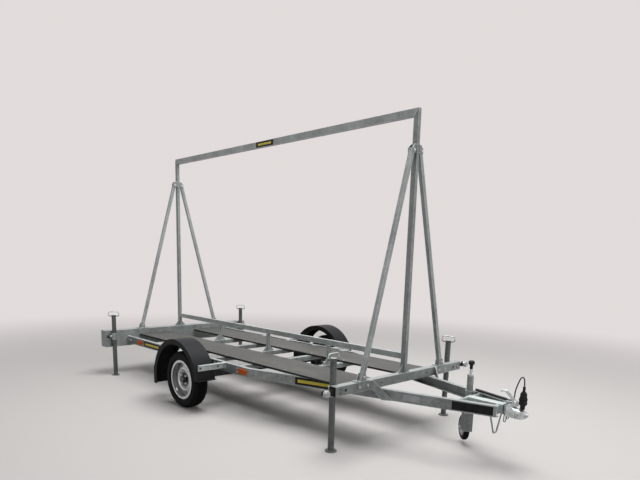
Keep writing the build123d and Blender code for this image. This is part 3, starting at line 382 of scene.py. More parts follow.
def mottled(name, pattern, dark, light, ends=(0.3, 0.7), gloss=None, grain=None, relief=(0.0003, 0.3),
            **surface):
    """A finish that drifts between two tones, rougher where it is lighter, with a fine relief."""
    made = Finish(name, **surface)
    tone = made.noise(*pattern)
    made.feed(Base_Color=made.ramp(tone, [(ends[0], dark), (ends[1], light)]))
    if gloss:
        made.feed(Roughness=tone * gloss[0] + gloss[1])
    made.bump(made.noise(*grain) if grain else tone, *relief)
    return made


plated = mottled("zinc_plated_fastener", (90.0, 2.0), (0.45, 0.47, 0.47), (0.70, 0.72, 0.71),
                 grain=(400.0, 2.0), roughness=0.28, metallic=0.9)

AXLE_LOW, AXLE_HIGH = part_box("axle_beam")
cross_low, cross_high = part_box("cross_members")
WEB_MIDDLE = (RAIL_LOW.z + RAIL_HIGH.z) / 2
CROSS_XS = [cross_low.x + 0.03 + i * (cross_high.x - cross_low.x - 0.06) / 4 for i in range(5)]
BEND_X = 0.132
RAIL_END_Y = 0.110
TAPER = (RAIL_HIGH.y - RAIL_END_Y) / (RAIL_HIGH.x - BEND_X)
GUSSET_BOLT_XS = (1.345, 1.405)


def rail_y(x):
    """Outer face of the left rail."""
    return RAIL_HIGH.y - max(0.0, x - BEND_X) * TAPER


bm = bmesh.new()
for sign in (-1, 1):
    out = Vector((0, sign, 0))
    for x in CROSS_XS:
        if x < BEND_X:
            for dz in (-0.016, 0.016):
                bolt(bm, (x, sign * RAIL_HIGH.y, WEB_MIDDLE + dz), out, 0.013)
    for x in (AXLE_LOW.x + 0.012, AXLE_HIGH.x - 0.012):
        bolt(bm, (x, sign * RAIL_HIGH.y, WEB_MIDDLE + 0.01), out, 0.019)
    for x in (REAR_HIGH.x + 0.035, REAR_HIGH.x + 0.085):
        bolt(bm, (x, sign * RAIL_HIGH.y, WEB_MIDDLE), out, 0.017)
    slope = Vector((TAPER, sign, 0)).normalized()
    for x in GUSSET_BOLT_XS:
        bolt(bm, (x, sign * (rail_y(x) + 0.006), RAIL_LOW.z + 0.022), slope, 0.013)
dressed("chassis_bolts", bm, plated, "chassis")

seam_x, seam_z = REAR_HIGH.x + 0.001, RAIL_HIGH.z + 0.001
bm = bmesh.new()
for sign in (-1, 1):
    for x in CROSS_XS:
        y = sign * (rail_y(x) - 0.006)
        weld(bm, (x - 0.026, y, cross_low.z + 0.001), (x + 0.026, y, cross_low.z + 0.001))
    weld(bm, (seam_x, sign * 0.679, seam_z), (seam_x, sign * 0.718, seam_z))
    weld(bm, (seam_x, sign * 0.721, RAIL_LOW.z + 0.004), (seam_x, sign * 0.721, RAIL_HIGH.z - 0.002))
for base, low_z in (("upright_rear", REAR_HIGH.z), ("upright_front", BEAM_HIGH.z)):
    low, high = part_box(base)
    for y in (-0.0165, 0.0165):
        weld(bm, (low.x + 0.004, y, low_z + 0.001), (high.x - 0.004, y, low_z + 0.001))
    for x in (low.x - 0.0015, high.x + 0.0015):
        if BEAM_LOW.x < x < BEAM_HIGH.x or REAR_LOW.x < x < REAR_HIGH.x:
            weld(bm, (x, -0.014, low_z + 0.001), (x, 0.014, low_z + 0.001))
top_low, top_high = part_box("top_beam")
for low, high in (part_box("upright_rear"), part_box("upright_front")):
    inner, outer = (high.x, low.x) if low.x < 0 else (low.x, high.x)
    for y in (-0.0162, 0.0162):
        weld(bm, (outer, y, top_high.z - 0.002), (inner, y, top_low.z), 0.0022)
post_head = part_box("bottom_rail")[0].z - 0.001
for x in CROSS_XS[::2]:
    for y in (-0.0165, 0.0165):
        weld(bm, (x - 0.013, y, seam_z), (x + 0.013, y, seam_z))
        weld(bm, (x - 0.013, y * 0.92, post_head), (x + 0.013, y * 0.92, post_head))
dressed("frame_welds", bm, zinc, "chassis")

# ---- Punched holes ----
# The front beam, the rails and the mudguard brackets are punched for other lamps and stands, and
# nothing is bolted there. Each hole's dark inside is painted shade, a thin dark disc on the steel.
shadow = Finish("hole_shadow", (0.012, 0.013, 0.014), roughness=0.9)
shadow.bump(shadow.noise(300.0, 2.0), 0.0002, 0.2)
BEAM_HOLES = ((0.712, 0.0, 0.011), (0.772, 0.014, 0.006), (0.772, -0.014, 0.006), (0.30, 0.0, 0.007))
BRACKET_HOLE_YS = (0.978, 0.79)
RAIL_HOLE_XS = (-1.90, -1.62, 0.52, 0.80, 1.08)
beam_z = (BEAM_LOW.z + BEAM_HIGH.z) / 2
bracket_low, bracket_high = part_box("mudguard_brackets")
bracket_z = (bracket_low.z + bracket_high.z) / 2 - 0.003
bm = bmesh.new()
for sign in (-1, 1):
    for y, z, radius in BEAM_HOLES:
        hole(bm, (BEAM_HIGH.x, sign * y, beam_z + z), (1, 0, 0), radius)
    for y in BRACKET_HOLE_YS:
        hole(bm, (bracket_high.x - 0.0308, sign * y, bracket_z), (1, 0, 0), 0.009)
    slope = Vector((TAPER, sign, 0)).normalized()
    for x in RAIL_HOLE_XS:
        direction = slope if x > BEND_X else Vector((0, sign, 0))
        hole(bm, (x, sign * (rail_y(x) + 0.0001), RAIL_HIGH.z - 0.02), direction, 0.0055)
dressed("punched_holes", bm, shadow, "chassis")

# ---- Brace and collar fasteners ----
# Each brace is clamped between its ears by one through-bolt at the foot and one at the head. The
# feet are bolted down to the beams, and the collars through the uprights.
FRONT_X, REAR_X = [(low.x + high.x) / 2 for low, high in map(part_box, ("upright_front", "upright_rear"))]
foot_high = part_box("brace_feet")[1]
collar_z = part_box("brace_collars")[0].z
FOOT_Y = foot_high.y - 0.060
EAR_FACE = 0.0228
COLLAR_EAR_Y = 0.048
bm = bmesh.new()
for middle, base in ((FRONT_X, BEAM_HIGH.z), (REAR_X, REAR_HIGH.z)):
    for sign in (-1, 1):
        for x_sign, fixing in ((1, bolt), (-1, nut)):
            face_x = middle + x_sign * EAR_FACE
            fixing(bm, (face_x, sign * (FOOT_Y - 0.008), base + 0.034), (x_sign, 0, 0), 0.017)
            fixing(bm, (face_x, sign * COLLAR_EAR_Y, collar_z + 0.020), (x_sign, 0, 0), 0.017)
        for y in (-0.043, 0.043):
            if middle > 0:
                bolt(bm, (foot_high.x, sign * FOOT_Y + y, base - 0.036), (1, 0, 0), 0.015)
            bolt(bm, (middle - 0.002, sign * FOOT_Y + y * 1.16, base + 0.006), (0, 0, 1), 0.011)
for sign in (-1, 1):
    for x in (REAR_X, FRONT_X):
        nut(bm, (x, sign * 0.0204, collar_z + 0.050), (0, sign, 0), 0.011)
dressed("brace_bolts", bm, plated, "chassis")

# ---- Drawbar gussets and seat tube welds ----
# The two folded plates are welded along the rails, and the seat tube's plates inside them. The
# beads carry the same zinc, since the frame is dipped after it is welded.
bm = bmesh.new()
seat_low, seat_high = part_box("coupling_base")
gusset_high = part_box("drawbar_gussets")[1]
seam_z = RAIL_HIGH.z - 0.0035
for sign in (-1, 1):
    weld(bm, (BEAM_HIGH.x + 0.002, sign * (gusset_high.y - 0.034), BEAM_LOW.z - 0.002),
         (gusset_high.x - 0.012, sign * (rail_y(gusset_high.x - 0.012) + 0.003), RAIL_LOW.z + 0.012), 0.003)
    for x in (seat_high.x - 0.058, seat_low.x + 0.014):
        y = rail_y(x) - 0.010
        weld(bm, (x - 0.004, sign * 0.040, seam_z), (x - 0.004, sign * y, seam_z), 0.0028)
dressed("drawbar_welds", bm, zinc, "chassis")

# ---- Prop stands ----
# Drawn tube with a darker zinc coat than the frame, a welded round foot and a bent wire ring to pull
# it up by. Each stands in a welded clamp, held by a screw with a black five-lobed knob.
stand_zinc = zinc_finish("stand_tube_zinc", 0.075, 0.16, 0.4)
height = stand_zinc.axes()[2]
ring_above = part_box("stand_front_left")[1].z - 0.0405
stand_zinc.feed(Base_Color=stand_zinc.mix(height > ring_above, stand_zinc.coat, grey(0.62)))
stand_zinc.paint("stand_front_left", "stand_front_right", "stand_rear_left", "stand_rear_right")
clamp_zinc = zinc_finish("clamp_zinc", 0.24, 0.50, 0.5)
clamp_zinc.paint("stand_clamps", "jockey_clamp")

clamp_low, clamp_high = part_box("stand_clamps")
handle_low, handle_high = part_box("clamp_handles")
CLAMP_MIDDLE = (clamp_low.z + clamp_high.z) / 2
FRONT_SPREAD = 0.752
REAR_SPREAD = handle_high.y - 0.082
STANDS = [(handle_high.x - 0.020, FRONT_SPREAD, BEAM_LOW.x), (handle_low.x + 0.020, REAR_SPREAD, REAR_HIGH.x)]


def lathe(bm, where, stations, segments=32, lobes=0, wave=0.0):
    """A solid turned from (height, radius) stations, its outline waved for a grip."""
    before = set(bm.verts)
    closed = [(stations[0][0], 0), *stations, (stations[-1][0], 0)]
    outline = [bm.verts.new((radius, 0, z)) for z, radius in closed]
    edges = [bm.edges.new(pair) for pair in zip(outline, outline[1:])]
    bmesh.ops.spin(bm, geom=outline + edges, cent=(0, 0, 0), axis=(0, 0, 1), angle=2 * math.pi,
                   steps=segments, use_merge=True)
    bmesh.ops.remove_doubles(bm, verts=[vert for vert in bm.verts if vert not in before], dist=1e-6)
    turned = [vert for vert in bm.verts if vert not in before]
    for vert in turned:
        vert.co.xy *= 1 + wave * math.cos(lobes * math.atan2(vert.co.y, vert.co.x))
    bmesh.ops.transform(bm, matrix=where, verts=turned)


bm = bmesh.new()
for x, y, wall_x in STANDS:
    for sign in (-1, 1):
        lathe(bm, seat((x, sign * (y + 0.0335), CLAMP_MIDDLE), (0, sign, 0)),
              [(0, 0.0155), (0.0095, 0.0155), (0.0105, 0.0145), (0.0105, 0.0065)]
              + [(0.0115 + i * 0.0014, 0.0075 if i % 2 else 0.0065) for i in range(11)])
        seam_x, seam_z = wall_x + (0.0015 if wall_x < 0 else -0.0015), clamp_high.z + 0.0005
        weld(bm, (seam_x, sign * y - 0.023, seam_z), (seam_x, sign * y + 0.023, seam_z), 0.003)
dressed("clamp_screws", bm, plated, "chassis")

grip = mottled("moulded_grip", (60.0, 3.0), (0.006, 0.006, 0.007), (0.015, 0.015, 0.016), (0.35, 0.7),
               grain=(500.0, 2.0), relief=(0.0003, 0.4), roughness=0.42, specular=0.2)
bm = bmesh.new()
for x, y, wall_x in STANDS:
    for sign in (-1, 1):
        lathe(bm, seat((x, sign * (y + 0.034), CLAMP_MIDDLE), (0, sign, 0)),
              [(0.026, 0.0105), (0.029, 0.0115), (0.031, 0.0155), (0.034, 0.0175), (0.042, 0.0175),
               (0.0455, 0.0160), (0.0470, 0.0125), (0.0478, 0.0070)], 40, 5, 0.13)
dressed("clamp_knobs", bm, grip, "chassis", ["clamp_handles"])

# ---- Walkway planks ----
# Plywood with a dark phenolic film, pressed with a wire mesh so feet don't slip, sealed black on
# its sawn edges and screwed to each cross member.
ply = Finish("mesh_faced_ply", roughness=0.55, specular=0.25)
spot = ply.axes()
wires = (spot[0] * 900.0).sine() * (spot[1] * 900.0).sine()
worn = ply.noise(2.4, 5.0, (0.5, 2.5, 1))
scuffs = ply.noise(30.0, 4.0, (0.15, 1, 1))
film = ply.ramp(worn * 0.6 + scuffs * 0.4, [(0.36, (0.066, 0.067, 0.061)), (0.52, (0.094, 0.095, 0.088)),
                                           (0.66, (0.130, 0.131, 0.122))])
flat = abs(ply.facing()[2]) > 0.7
ply.feed(Base_Color=ply.mix(flat, (0.012, 0.012, 0.012), film), Roughness=worn * 0.3 + 0.36)
ply.bump(wires * 0.6 + scuffs * 0.4, 0.0007, 0.6)
ply.paint("plank_left", "plank_right")

plank_low, plank_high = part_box("plank_left")
bm = bmesh.new()
for sign in (-1, 1):
    for x in CROSS_XS:
        for y in (plank_low.y + 0.035, plank_high.y - 0.035):
            disc(bm, seat((x, sign * y, plank_high.z - 0.0004), Z), 0, 0.0009, 0.0075, 0.0062)
dressed("plank_screws", bm, plated, "chassis")

# ---- Mudguards ----
# Moulded black plastic with a fine grain, with random road dust and a painted sheen that lightens
# its upward faces, and a rolled edge along each side skirt.
plastic = Finish("mudguard_plastic", specular=0.12)
# Painted sheen: upward faces are painted lighter, as if lit from above, mixed with random road dust.
upward = plastic.facing()[2]
dust = plastic.noise(9.0, 4.0)
dust_and_sheen = plastic.between(upward + dust * 0.3, 0.25, 1.15, 0.0, 1.0)
plastic.feed(Base_Color=plastic.mix(dust_and_sheen, (0.0050, 0.0052, 0.0058), (0.022, 0.0235, 0.0275)),
             Roughness=dust * 0.16 + 0.42)
plastic.bump(plastic.cells(520.0) * 0.6 + dust * 0.4, 0.0006, 0.4)
plastic.paint("mudguard_left", "mudguard_right")

guard_low, guard_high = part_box("mudguard_left")
GUARD_RADIUS = 0.402
SKIRT_BOTTOM = 0.306
FLAP_HEIGHT, FLAP_DEPTH = 0.172, 0.012
guard_x, guard_z = guard_low.x + GUARD_RADIUS, guard_high.z - GUARD_RADIUS
guard_y = (guard_low.y + guard_high.y) / 2


def bar(bm, points, radius, sides=8):
    """A round bar drawn through points."""
    ways = [(b - a).normalized() for a, b in zip(points, points[1:])]
    face = bmesh.ops.create_circle(bm, cap_ends=True, segments=sides, radius=radius,
                                   matrix=seat(points[0], ways[0]))["verts"][0].link_faces[0]
    for i, way in enumerate(ways):
        face = pull(bm, face)
        ring = list(face.verts)
        bmesh.ops.translate(bm, vec=points[i + 1] - points[i], verts=ring)
        bmesh.ops.rotate(bm, cent=points[i + 1], verts=ring,
                         matrix=way.rotation_difference(ways[min(i + 1, len(ways) - 1)]).to_matrix())


def skin(bm, sections):
    """A closed form that starts as its first section and is pulled through the others."""
    face = bm.faces.new([bm.verts.new(point) for point in sections[0]])
    for before, after in zip(sections, sections[1:]):
        face = pull(bm, face)
        for vert in list(face.verts):
            vert.co = after[min(range(len(before)), key=lambda i: (before[i] - vert.co).length)]


def tile(bm, centre, along, above, width, height, depth, round_by):
    """A raised panel with rounded corners and a softened face, lying on a surface at centre."""
    along, above = Vector(along).normalized(), Vector(above).normalized()
    out = along.cross(above)
    turn = Matrix((along, above, out)).transposed().to_4x4()
    where = Matrix.Translation(Vector(centre) + out * depth / 2) @ turn
    verts = bmesh.ops.create_cube(bm, matrix=where @ Matrix.Diagonal((width, height, depth, 1)))["verts"]
    corners = [edge for edge in {edge for vert in verts for edge in vert.link_edges}
               if abs((edge.verts[0].co - edge.verts[1].co).normalized().dot(out)) > 0.99]
    made = bmesh.ops.bevel(bm, geom=corners, offset=round_by, offset_type="OFFSET", segments=4,
                           profile=0.5, affect="EDGES", material=-1)["faces"]
    front = max({face for side in made for edge in side.edges for face in edge.link_faces},
                key=lambda face: face.calc_center_median().dot(out))
    bmesh.ops.bevel(bm, geom=list(front.edges), offset=depth * 0.3, offset_type="OFFSET", segments=1,
                    profile=0.5, affect="EDGES", material=-1)


bm = bmesh.new()
for sign in (-1, 1):
    tile(bm, (guard_low.x - 0.0002, sign * guard_y, guard_low.z + 0.088), (0, -1, 0), Z,
         guard_high.y - guard_low.y - 0.004, FLAP_HEIGHT, FLAP_DEPTH, 0.006)
dressed("mudguard_flaps", bm, plastic, "chassis")

bm = bmesh.new()
rim_radius = GUARD_RADIUS - 0.047
start = math.asin((SKIRT_BOTTOM - guard_z) / GUARD_RADIUS)
turns = [start + (math.pi - start) * i / 40 for i in range(41)]
for sign in (-1, 1):
    for y in (guard_low.y + 0.003, guard_high.y - 0.0035):
        edge = [Vector((guard_x + rim_radius * math.cos(turn), sign * y,
                        guard_z + rim_radius * math.sin(turn))) for turn in turns]
        edge.append(Vector((guard_x - rim_radius, sign * y, guard_low.z + 0.002)))
        bar(bm, edge, 0.0034)
dressed("mudguard_rolled_edges", bm, plastic, "chassis")

bm = bmesh.new()
for sign in (-1, 1):
    for y in (0.885, 0.960):
        for x, out in ((bracket_high.x - 0.034, 1), (bracket_low.x + 0.034, -1)):
            bolt(bm, (x + out * 0.003, sign * y, bracket_low.z + 0.026), (out, 0, 0), 0.013)
    for x in (bracket_high.x - 0.014, bracket_low.x + 0.014):
        bolt(bm, (x, sign * (RAIL_HIGH.y + 0.004), bracket_low.z + 0.026), (0, sign, 0), 0.015)
dressed("mudguard_bolts", bm, plated, "chassis")

# ---- Wheels ----
# Road tyres with ribbed and blocked tread on drop-centre steel rims, sprayed silver, with a dark
# hub and four cone-seated bolts.
rubber = mottled("tyre_rubber", (16.0, 4.0), (0.0030, 0.0030, 0.0032), (0.0075, 0.0075, 0.0078),
                 gloss=(0.25, 0.5), grain=(380.0, 2.0), relief=(0.0003, 0.35), specular=0.08)
rubber_low, rubber_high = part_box("tyre_left")
WHEEL = (rubber_low + rubber_high) / 2
TYRE_RADIUS = rubber_high.z / 2
TREAD = TYRE_RADIUS - 0.0046
GROOVE = TYRE_RADIUS - 0.0095
tyre_half = [(0.1633, 0.0577), (0.1835, 0.0577), (0.1850, 0.0625), (0.1925, 0.0690), (0.2040, 0.0724),
             (0.2075, 0.0738), (0.2105, 0.0726), (0.2260, 0.0733), (0.2400, 0.0715), (0.2430, 0.0722),
             (0.2460, 0.0702), (0.2530, 0.0655), (0.2585, 0.0580), (TREAD - 0.0006, 0.0440),
             (TREAD, 0.0270), (GROOVE, 0.0255), (GROOVE, 0.0205), (TREAD, 0.0190), (TREAD, 0.0050),
             (GROOVE, 0.0035)]


def spun(bm, half, steps):
    """Mirrors one side of a (radius, sideways) outline and turns the whole about the sideways axis."""
    outline = half + [(r, -y) for r, y in reversed(half)]
    first = [bm.verts.new((r, y, 0)) for r, y in outline]
    edges = [bm.edges.new((first[i], first[(i + 1) % len(first)])) for i in range(len(first))]
    bmesh.ops.spin(bm, geom=first + edges, cent=(0, 0, 0), axis=(0, 1, 0), angle=2 * math.pi,
                   steps=steps, use_merge=True, use_duplicate=False)
    bmesh.ops.remove_doubles(bm, verts=bm.verts, dist=1e-6)
    bmesh.ops.recalc_face_normals(bm, faces=bm.faces)


for side, sign in (("left", 1), ("right", -1)):
    centre = Vector((WHEEL.x, sign * WHEEL.y, WHEEL.z))
    bm = bmesh.new()
    spun(bm, tyre_half, 96)
    blocks = []
    for face in bm.faces:
        middle = face.calc_center_median()
        if middle.xz.length > TREAD - 0.0012 and abs(middle.y) < 0.046:
            blocks.append(face)
    bmesh.ops.inset_individual(bm, faces=blocks, thickness=0.0016, depth=0.0043)
    bmesh.ops.translate(bm, vec=centre, verts=bm.verts)
    dressed("tyre_tread_" + side, bm, rubber, "wheel_" + side, ["tyre_" + side])

silver = Finish("rim_silver", metallic=0.8, coat=0.2)
silver.shader.inputs["Coat Roughness"].default_value = 0.2
from_axis = silver.node("ShaderNodeVectorMath", {"operation": "SUBTRACT"},
                        {0: silver.place(), 1: (WHEEL.x, 0, WHEEL.z)})[0]
in_plane = silver.node("ShaderNodeVectorMath", {"operation": "MULTIPLY"},
                       {0: from_axis, 1: (1, 0, 1)})[0]
radius = silver.node("ShaderNodeVectorMath", {"operation": "LENGTH"}, {0: in_plane})[1]
flake = silver.noise(700.0, 2.0)
# Painted light: by radius, the rim is painted dark round the hub recess and in a thin line further out as
# painted shade, and bright at the raised bead and toward the flange as painted highlights.
painted_rim_light = silver.ramp(radius * 5.0 + flake * 0.01, [(0.305, (0.02, 0.02, 0.022)), (0.36, (0.20, 0.205, 0.21)),
                                                 (0.47, (0.42, 0.43, 0.44)), (0.505, (0.88, 0.89, 0.90)),
                                                 (0.55, (0.44, 0.45, 0.46)), (0.775, (0.50, 0.51, 0.52)),
                                                 (0.79, (0.04, 0.04, 0.042)), (0.81, (0.50, 0.51, 0.52)),
                                                 (0.905, (0.78, 0.79, 0.80))])
# Painted shade: the rim's inboard side, seen through the vents, is painted near black and not metallic.
shaded_inboard = abs(silver.axes()[1]) < WHEEL.y + 0.008
silver.feed(Base_Color=silver.mix(shaded_inboard, painted_rim_light, (0.012, 0.012, 0.013)), Roughness=flake * 0.2 + 0.24,
            Metallic=(shaded_inboard * -0.8) + 0.8)
silver.bump(flake, 0.0002, 0.25)
silver.paint("rim_left", "rim_right")
hub_paint = mottled("hub_casting", (60.0, 4.0), (0.05, 0.052, 0.055), (0.16, 0.165, 0.17),
                    gloss=(0.3, 0.35), relief=(0.0008, 0.3), metallic=0.4)
hub_paint.paint("hub_left", "hub_right")

BOLT_CIRCLE = 0.049
for side, sign in (("left", 1), ("right", -1)):
    bm = bmesh.new()
    face_y = sign * (WHEEL.y + 0.026)
    for i in range(4):
        turn = math.radians(45 + 90 * i)
        spot = (WHEEL.x + BOLT_CIRCLE * math.cos(turn), face_y, WHEEL.z + BOLT_CIRCLE * math.sin(turn))
        where = seat(spot, (0, sign, 0))
        disc(bm, where, -0.0005, 0.004, 0.0115, 0.0105, 20)
        disc(bm, where, 0.004, 0.015, 0.0098, 0.0098, 6)
        disc(bm, where, 0.015, 0.0165, 0.0098, 0.0075, 6)
    dressed("wheel_bolts_" + side, bm, plated, "wheel_" + side)
    bm = bmesh.new()
    spot = Vector((WHEEL.x + 0.108, sign * (WHEEL.y + 0.020), WHEEL.z + 0.102))
    lathe(bm, seat(spot, (-0.25, sign, -0.22)),
          [(0, 0.0075), (0.006, 0.0070), (0.010, 0.0050), (0.026, 0.0040), (0.0265, 0.0047),
           (0.035, 0.0047), (0.036, 0.0036)], 16)
    dressed("tyre_valve_" + side, bm, grip, "wheel_" + side)

axle_black = mottled("axle_paint", (40.0, 4.0), (0.012, 0.013, 0.014), (0.040, 0.042, 0.044),
                     gloss=(0.35, 0.35), relief=(0.0008, 0.4), coat=0.1, specular=0.2)
axle_black.paint("axle_beam", "axle_arms")

# ---- Coupling head and lever ----
# A pressed steel coupling, bright zinc plated: two deep cheeks under a rounded back that closes to
# a beak over the ball, and a bent handle on its pivot drum.
bright = Finish("bright_zinc", metallic=0.85)
mottle = bright.noise(26.0, 4.0)
plating = bright.ramp(mottle, [(0.32, (0.36, 0.40, 0.41)), (0.68, (0.66, 0.70, 0.71))])
# Painted highlight: the sharp edges of the pressing and handle are painted near white.
bright.feed(Base_Color=bright.mix(bright.edges(0.003) * 0.6, plating, (0.85, 0.90, 0.90)),
            Roughness=mottle * 0.25 + 0.14)
bright.bump(mottle, 0.0009, 0.35)
head_low, head_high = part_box("coupling_head")


def pressed_section(x, half, low, high, crown, steps=6):
    """Section of the pressing at x: upright cheeks, a rounded back and a flat mouth below."""
    points = [Vector((x, -half, low)), Vector((x, -half, (low + high - crown) / 2))]
    for i in range(steps + 1):
        turn = math.pi * i / steps
        points.append(Vector((x, -half * math.cos(turn), high - crown + crown * math.sin(turn) ** 0.8)))
    points += [Vector((x, half, (low + high - crown) / 2)), Vector((x, half, low))]
    points += [Vector((x, half * k, low)) for k in (0.5, 0.0, -0.5)]
    return points


NOSE = head_high.x - head_low.x
PRESSING = ((0.000, 0.0415, 0.004, 0.001, 0.016), (0.003, 0.0420, 0.003, 0.000, 0.018),
            (0.032, 0.0415, 0.002, 0.000, 0.020), (0.044, 0.0365, 0.000, 0.003, 0.022),
            (0.062, 0.0360, 0.000, 0.008, 0.026), (0.080, 0.0365, 0.000, 0.010, 0.029),
            (0.098, 0.0335, 0.000, 0.013, 0.029), (0.114, 0.0270, 0.002, 0.018, 0.025),
            (0.128, 0.0195, 0.007, 0.025, 0.019), (0.138, 0.0125, 0.013, 0.033, 0.012),
            (NOSE - 0.0025, 0.0080, 0.018, 0.038, 0.008), (NOSE, 0.0035, 0.022, 0.042, 0.004))
MOUTH_FROM, MOUTH_TO, MOUTH_DEPTH = head_low.x + 0.044, head_high.x - 0.036, 0.036
bm = bmesh.new()
skin(bm, [pressed_section(head_low.x + x, half, head_low.z + lift, head_high.z - drop, crown)
          for x, half, lift, drop, crown in PRESSING])
bmesh.ops.recalc_face_normals(bm, faces=bm.faces)
mouth = [face for face in bm.faces
         if face.normal.z < -0.9 and MOUTH_FROM < face.calc_center_median().x < MOUTH_TO]
bmesh.ops.inset_region(bm, faces=mouth, thickness=0.005)
raised = bmesh.ops.extrude_face_region(bm, geom=mouth)["geom"]
bmesh.ops.delete(bm, geom=mouth, context="FACES_ONLY")
roof = [item for item in raised if isinstance(item, bmesh.types.BMVert)]
bmesh.ops.translate(bm, vec=(0, 0, MOUTH_DEPTH), verts=roof)
dressed("coupling_pressing", bm, bright, "chassis", ["coupling_head"])

lever_low, lever_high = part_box("coupling_lever")
LEVER_LINE = ((0.016, 0.014), (0.024, 0.026), (0.036, 0.040), (0.056, 0.060), (0.076, 0.079),
              (0.094, 0.093), (0.106, 0.0985), (0.117, 0.0985), (0.125, 0.093), (0.1295, 0.085))
TROUGH = ((-1, -0.5), (-0.85, -1), (0.85, -1), (1, -0.5), (1, 0.6), (0.85, 0.9), (0.55, 0.45),
          (-0.55, 0.45), (-0.85, 0.9), (-1, 0.6))
bm = bmesh.new()
path = [Vector((lever_high.x - x, 0, lever_low.z + z)) for x, z in LEVER_LINE]
sections = []
for i, point in enumerate(path):
    ahead = (path[min(i + 1, len(path) - 1)] - path[max(i - 1, 0)]).normalized()
    out = Vector((ahead.z, 0, -ahead.x))
    width = 0.0155 if i < 5 else 0.0140
    thick = 0.0070 if i < 4 else (0.0056 if i < 7 else 0.0042)
    sections.append([point + Vector((0, y * width, 0)) + out * z * thick for y, z in TROUGH])
skin(bm, sections)
lathe(bm, seat((lever_high.x - 0.024, -0.016, lever_low.z + 0.020), (0, 1, 0)),
      [(0, 0.013), (0.001, 0.0165), (0.004, 0.0185), (0.028, 0.0185), (0.031, 0.0165), (0.032, 0.013)], 32)
for y in (-1, 1):
    cheek = [(0.004, 0.0), (0.050, 0.0), (0.044, 0.014), (0.034, 0.030), (0.022, 0.036), (0.010, 0.028)]
    skin(bm, [[Vector((lever_high.x - x, y * depth, lever_low.z + z)) for x, z in cheek]
              for depth in (0.0125, 0.0158)])
dressed("coupling_handle", bm, bright, "chassis", ["coupling_lever"], 50)
bm = bmesh.new()
for x in (head_low.x + 0.012, head_low.x + 0.030):
    for sign in (-1, 1):
        bolt(bm, (x, sign * 0.0418, head_low.z + 0.030), (0, sign, 0), 0.009)
dressed("coupling_bolts", bm, plated, "chassis")

# ---- Parking cup, plug and lighting lead ----
# The trailer's own plug is parked in a cup on the nose. Its lead folds over it and runs back into
# a corrugated sleeve that lies along the left rail.
cable_black = mottled("cable_pvc", (80.0, 3.0), (0.010, 0.010, 0.011), (0.024, 0.024, 0.026),
                      gloss=(0.25, 0.30), specular=0.3)
cable_black.paint("breakaway_cable")
holder_low, holder_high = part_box("plug_holder")
plug_low, plug_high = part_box("plug")
plug_x = (plug_low.x + plug_high.x) / 2
cup_top, plug_top = holder_high.z - holder_low.z, plug_high.z - holder_high.z
bm = bmesh.new()
lathe(bm, Matrix.Translation((plug_x, 0, holder_low.z)),
      [(0.0, 0.015), (0.004, 0.0165), (0.026, 0.0175), (0.034, 0.0265), (0.038, 0.0284),
       (0.052, 0.0284), (0.054, 0.0272), (0.062, 0.0272), (0.064, 0.0284), (cup_top - 0.001, 0.0284),
       (cup_top, 0.0274), (cup_top, 0.0218), (cup_top - 0.030, 0.0214)], 40)
dressed("parking_cup", bm, grip, "chassis", ["plug_holder"])
bm = bmesh.new()
ribs = [(plug_top - 0.036 + i * 0.003, 0.0108 - 0.0002 * i if i % 2 == 0 else 0.0088) for i in range(12)]
lathe(bm, Matrix.Translation((plug_x, 0, holder_high.z)),
      [(plug_low.z - holder_high.z, 0.0205), (-0.001, 0.0208), (0.001, 0.0238), (0.012, 0.0240),
       (0.014, 0.0228), (0.032, 0.0222), (0.036, 0.0205), (0.044, 0.0150)] + ribs, 48, 12, 0.012)
dressed("plug_body", bm, grip, "chassis", ["plug"])

SLEEVE_REAR, SLEEVE_FRONT = Vector((1.845, 0.1856, 0.4543)), Vector((2.145, 0.0960, 0.4543))
run = SLEEVE_FRONT - SLEEVE_REAR
bm = bmesh.new()
PITCH = 0.0054
count = int(run.length / PITCH)
corrugations = []
for i in range(count):
    z = i * PITCH
    corrugations += [(z + 0.0004, 0.0080), (z + 0.0013, 0.0098), (z + 0.0034, 0.0098), (z + 0.0043, 0.0080)]
lathe(bm, seat(SLEEVE_REAR, run), corrugations, 20)
sleeve = mottled("corrugated_sleeve", (70.0, 3.0), (0.020, 0.022, 0.024), (0.055, 0.060, 0.064),
                 gloss=(0.2, 0.26), specular=0.7)
dressed("lead_sleeve", bm, sleeve, "chassis", ["lead_conduit"])

curve = bpy.data.curves.new("lighting_cable", "CURVE")
curve.dimensions = "3D"
curve.bevel_depth = 0.0045
curve.bevel_resolution = 4
curve.use_fill_caps = True
spline = curve.splines.new("NURBS")
LEAD = [(2.145, 0.0960, 0.4543), (2.187, 0.0835, 0.4543), (2.213, 0.063, 0.4823), (2.228, 0.033, 0.540),
        (2.256, 0.017, 0.616), (2.280, 0.006, 0.658), (2.306, 0.0, 0.646), (2.306, 0.0, 0.596)]
spline.points.add(len(LEAD) - 1)
for point, place in zip(spline.points, LEAD):
    point.co = (*place, 1.0)
spline.order_u = 3
spline.use_endpoint_u = True
spline.resolution_u = 16
cable = bpy.data.objects.new("lighting_cable", curve)
curve.materials.append(cable_black.material)
bpy.context.scene.collection.objects.link(cable)
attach(cable, "chassis")
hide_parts("lighting_lead")

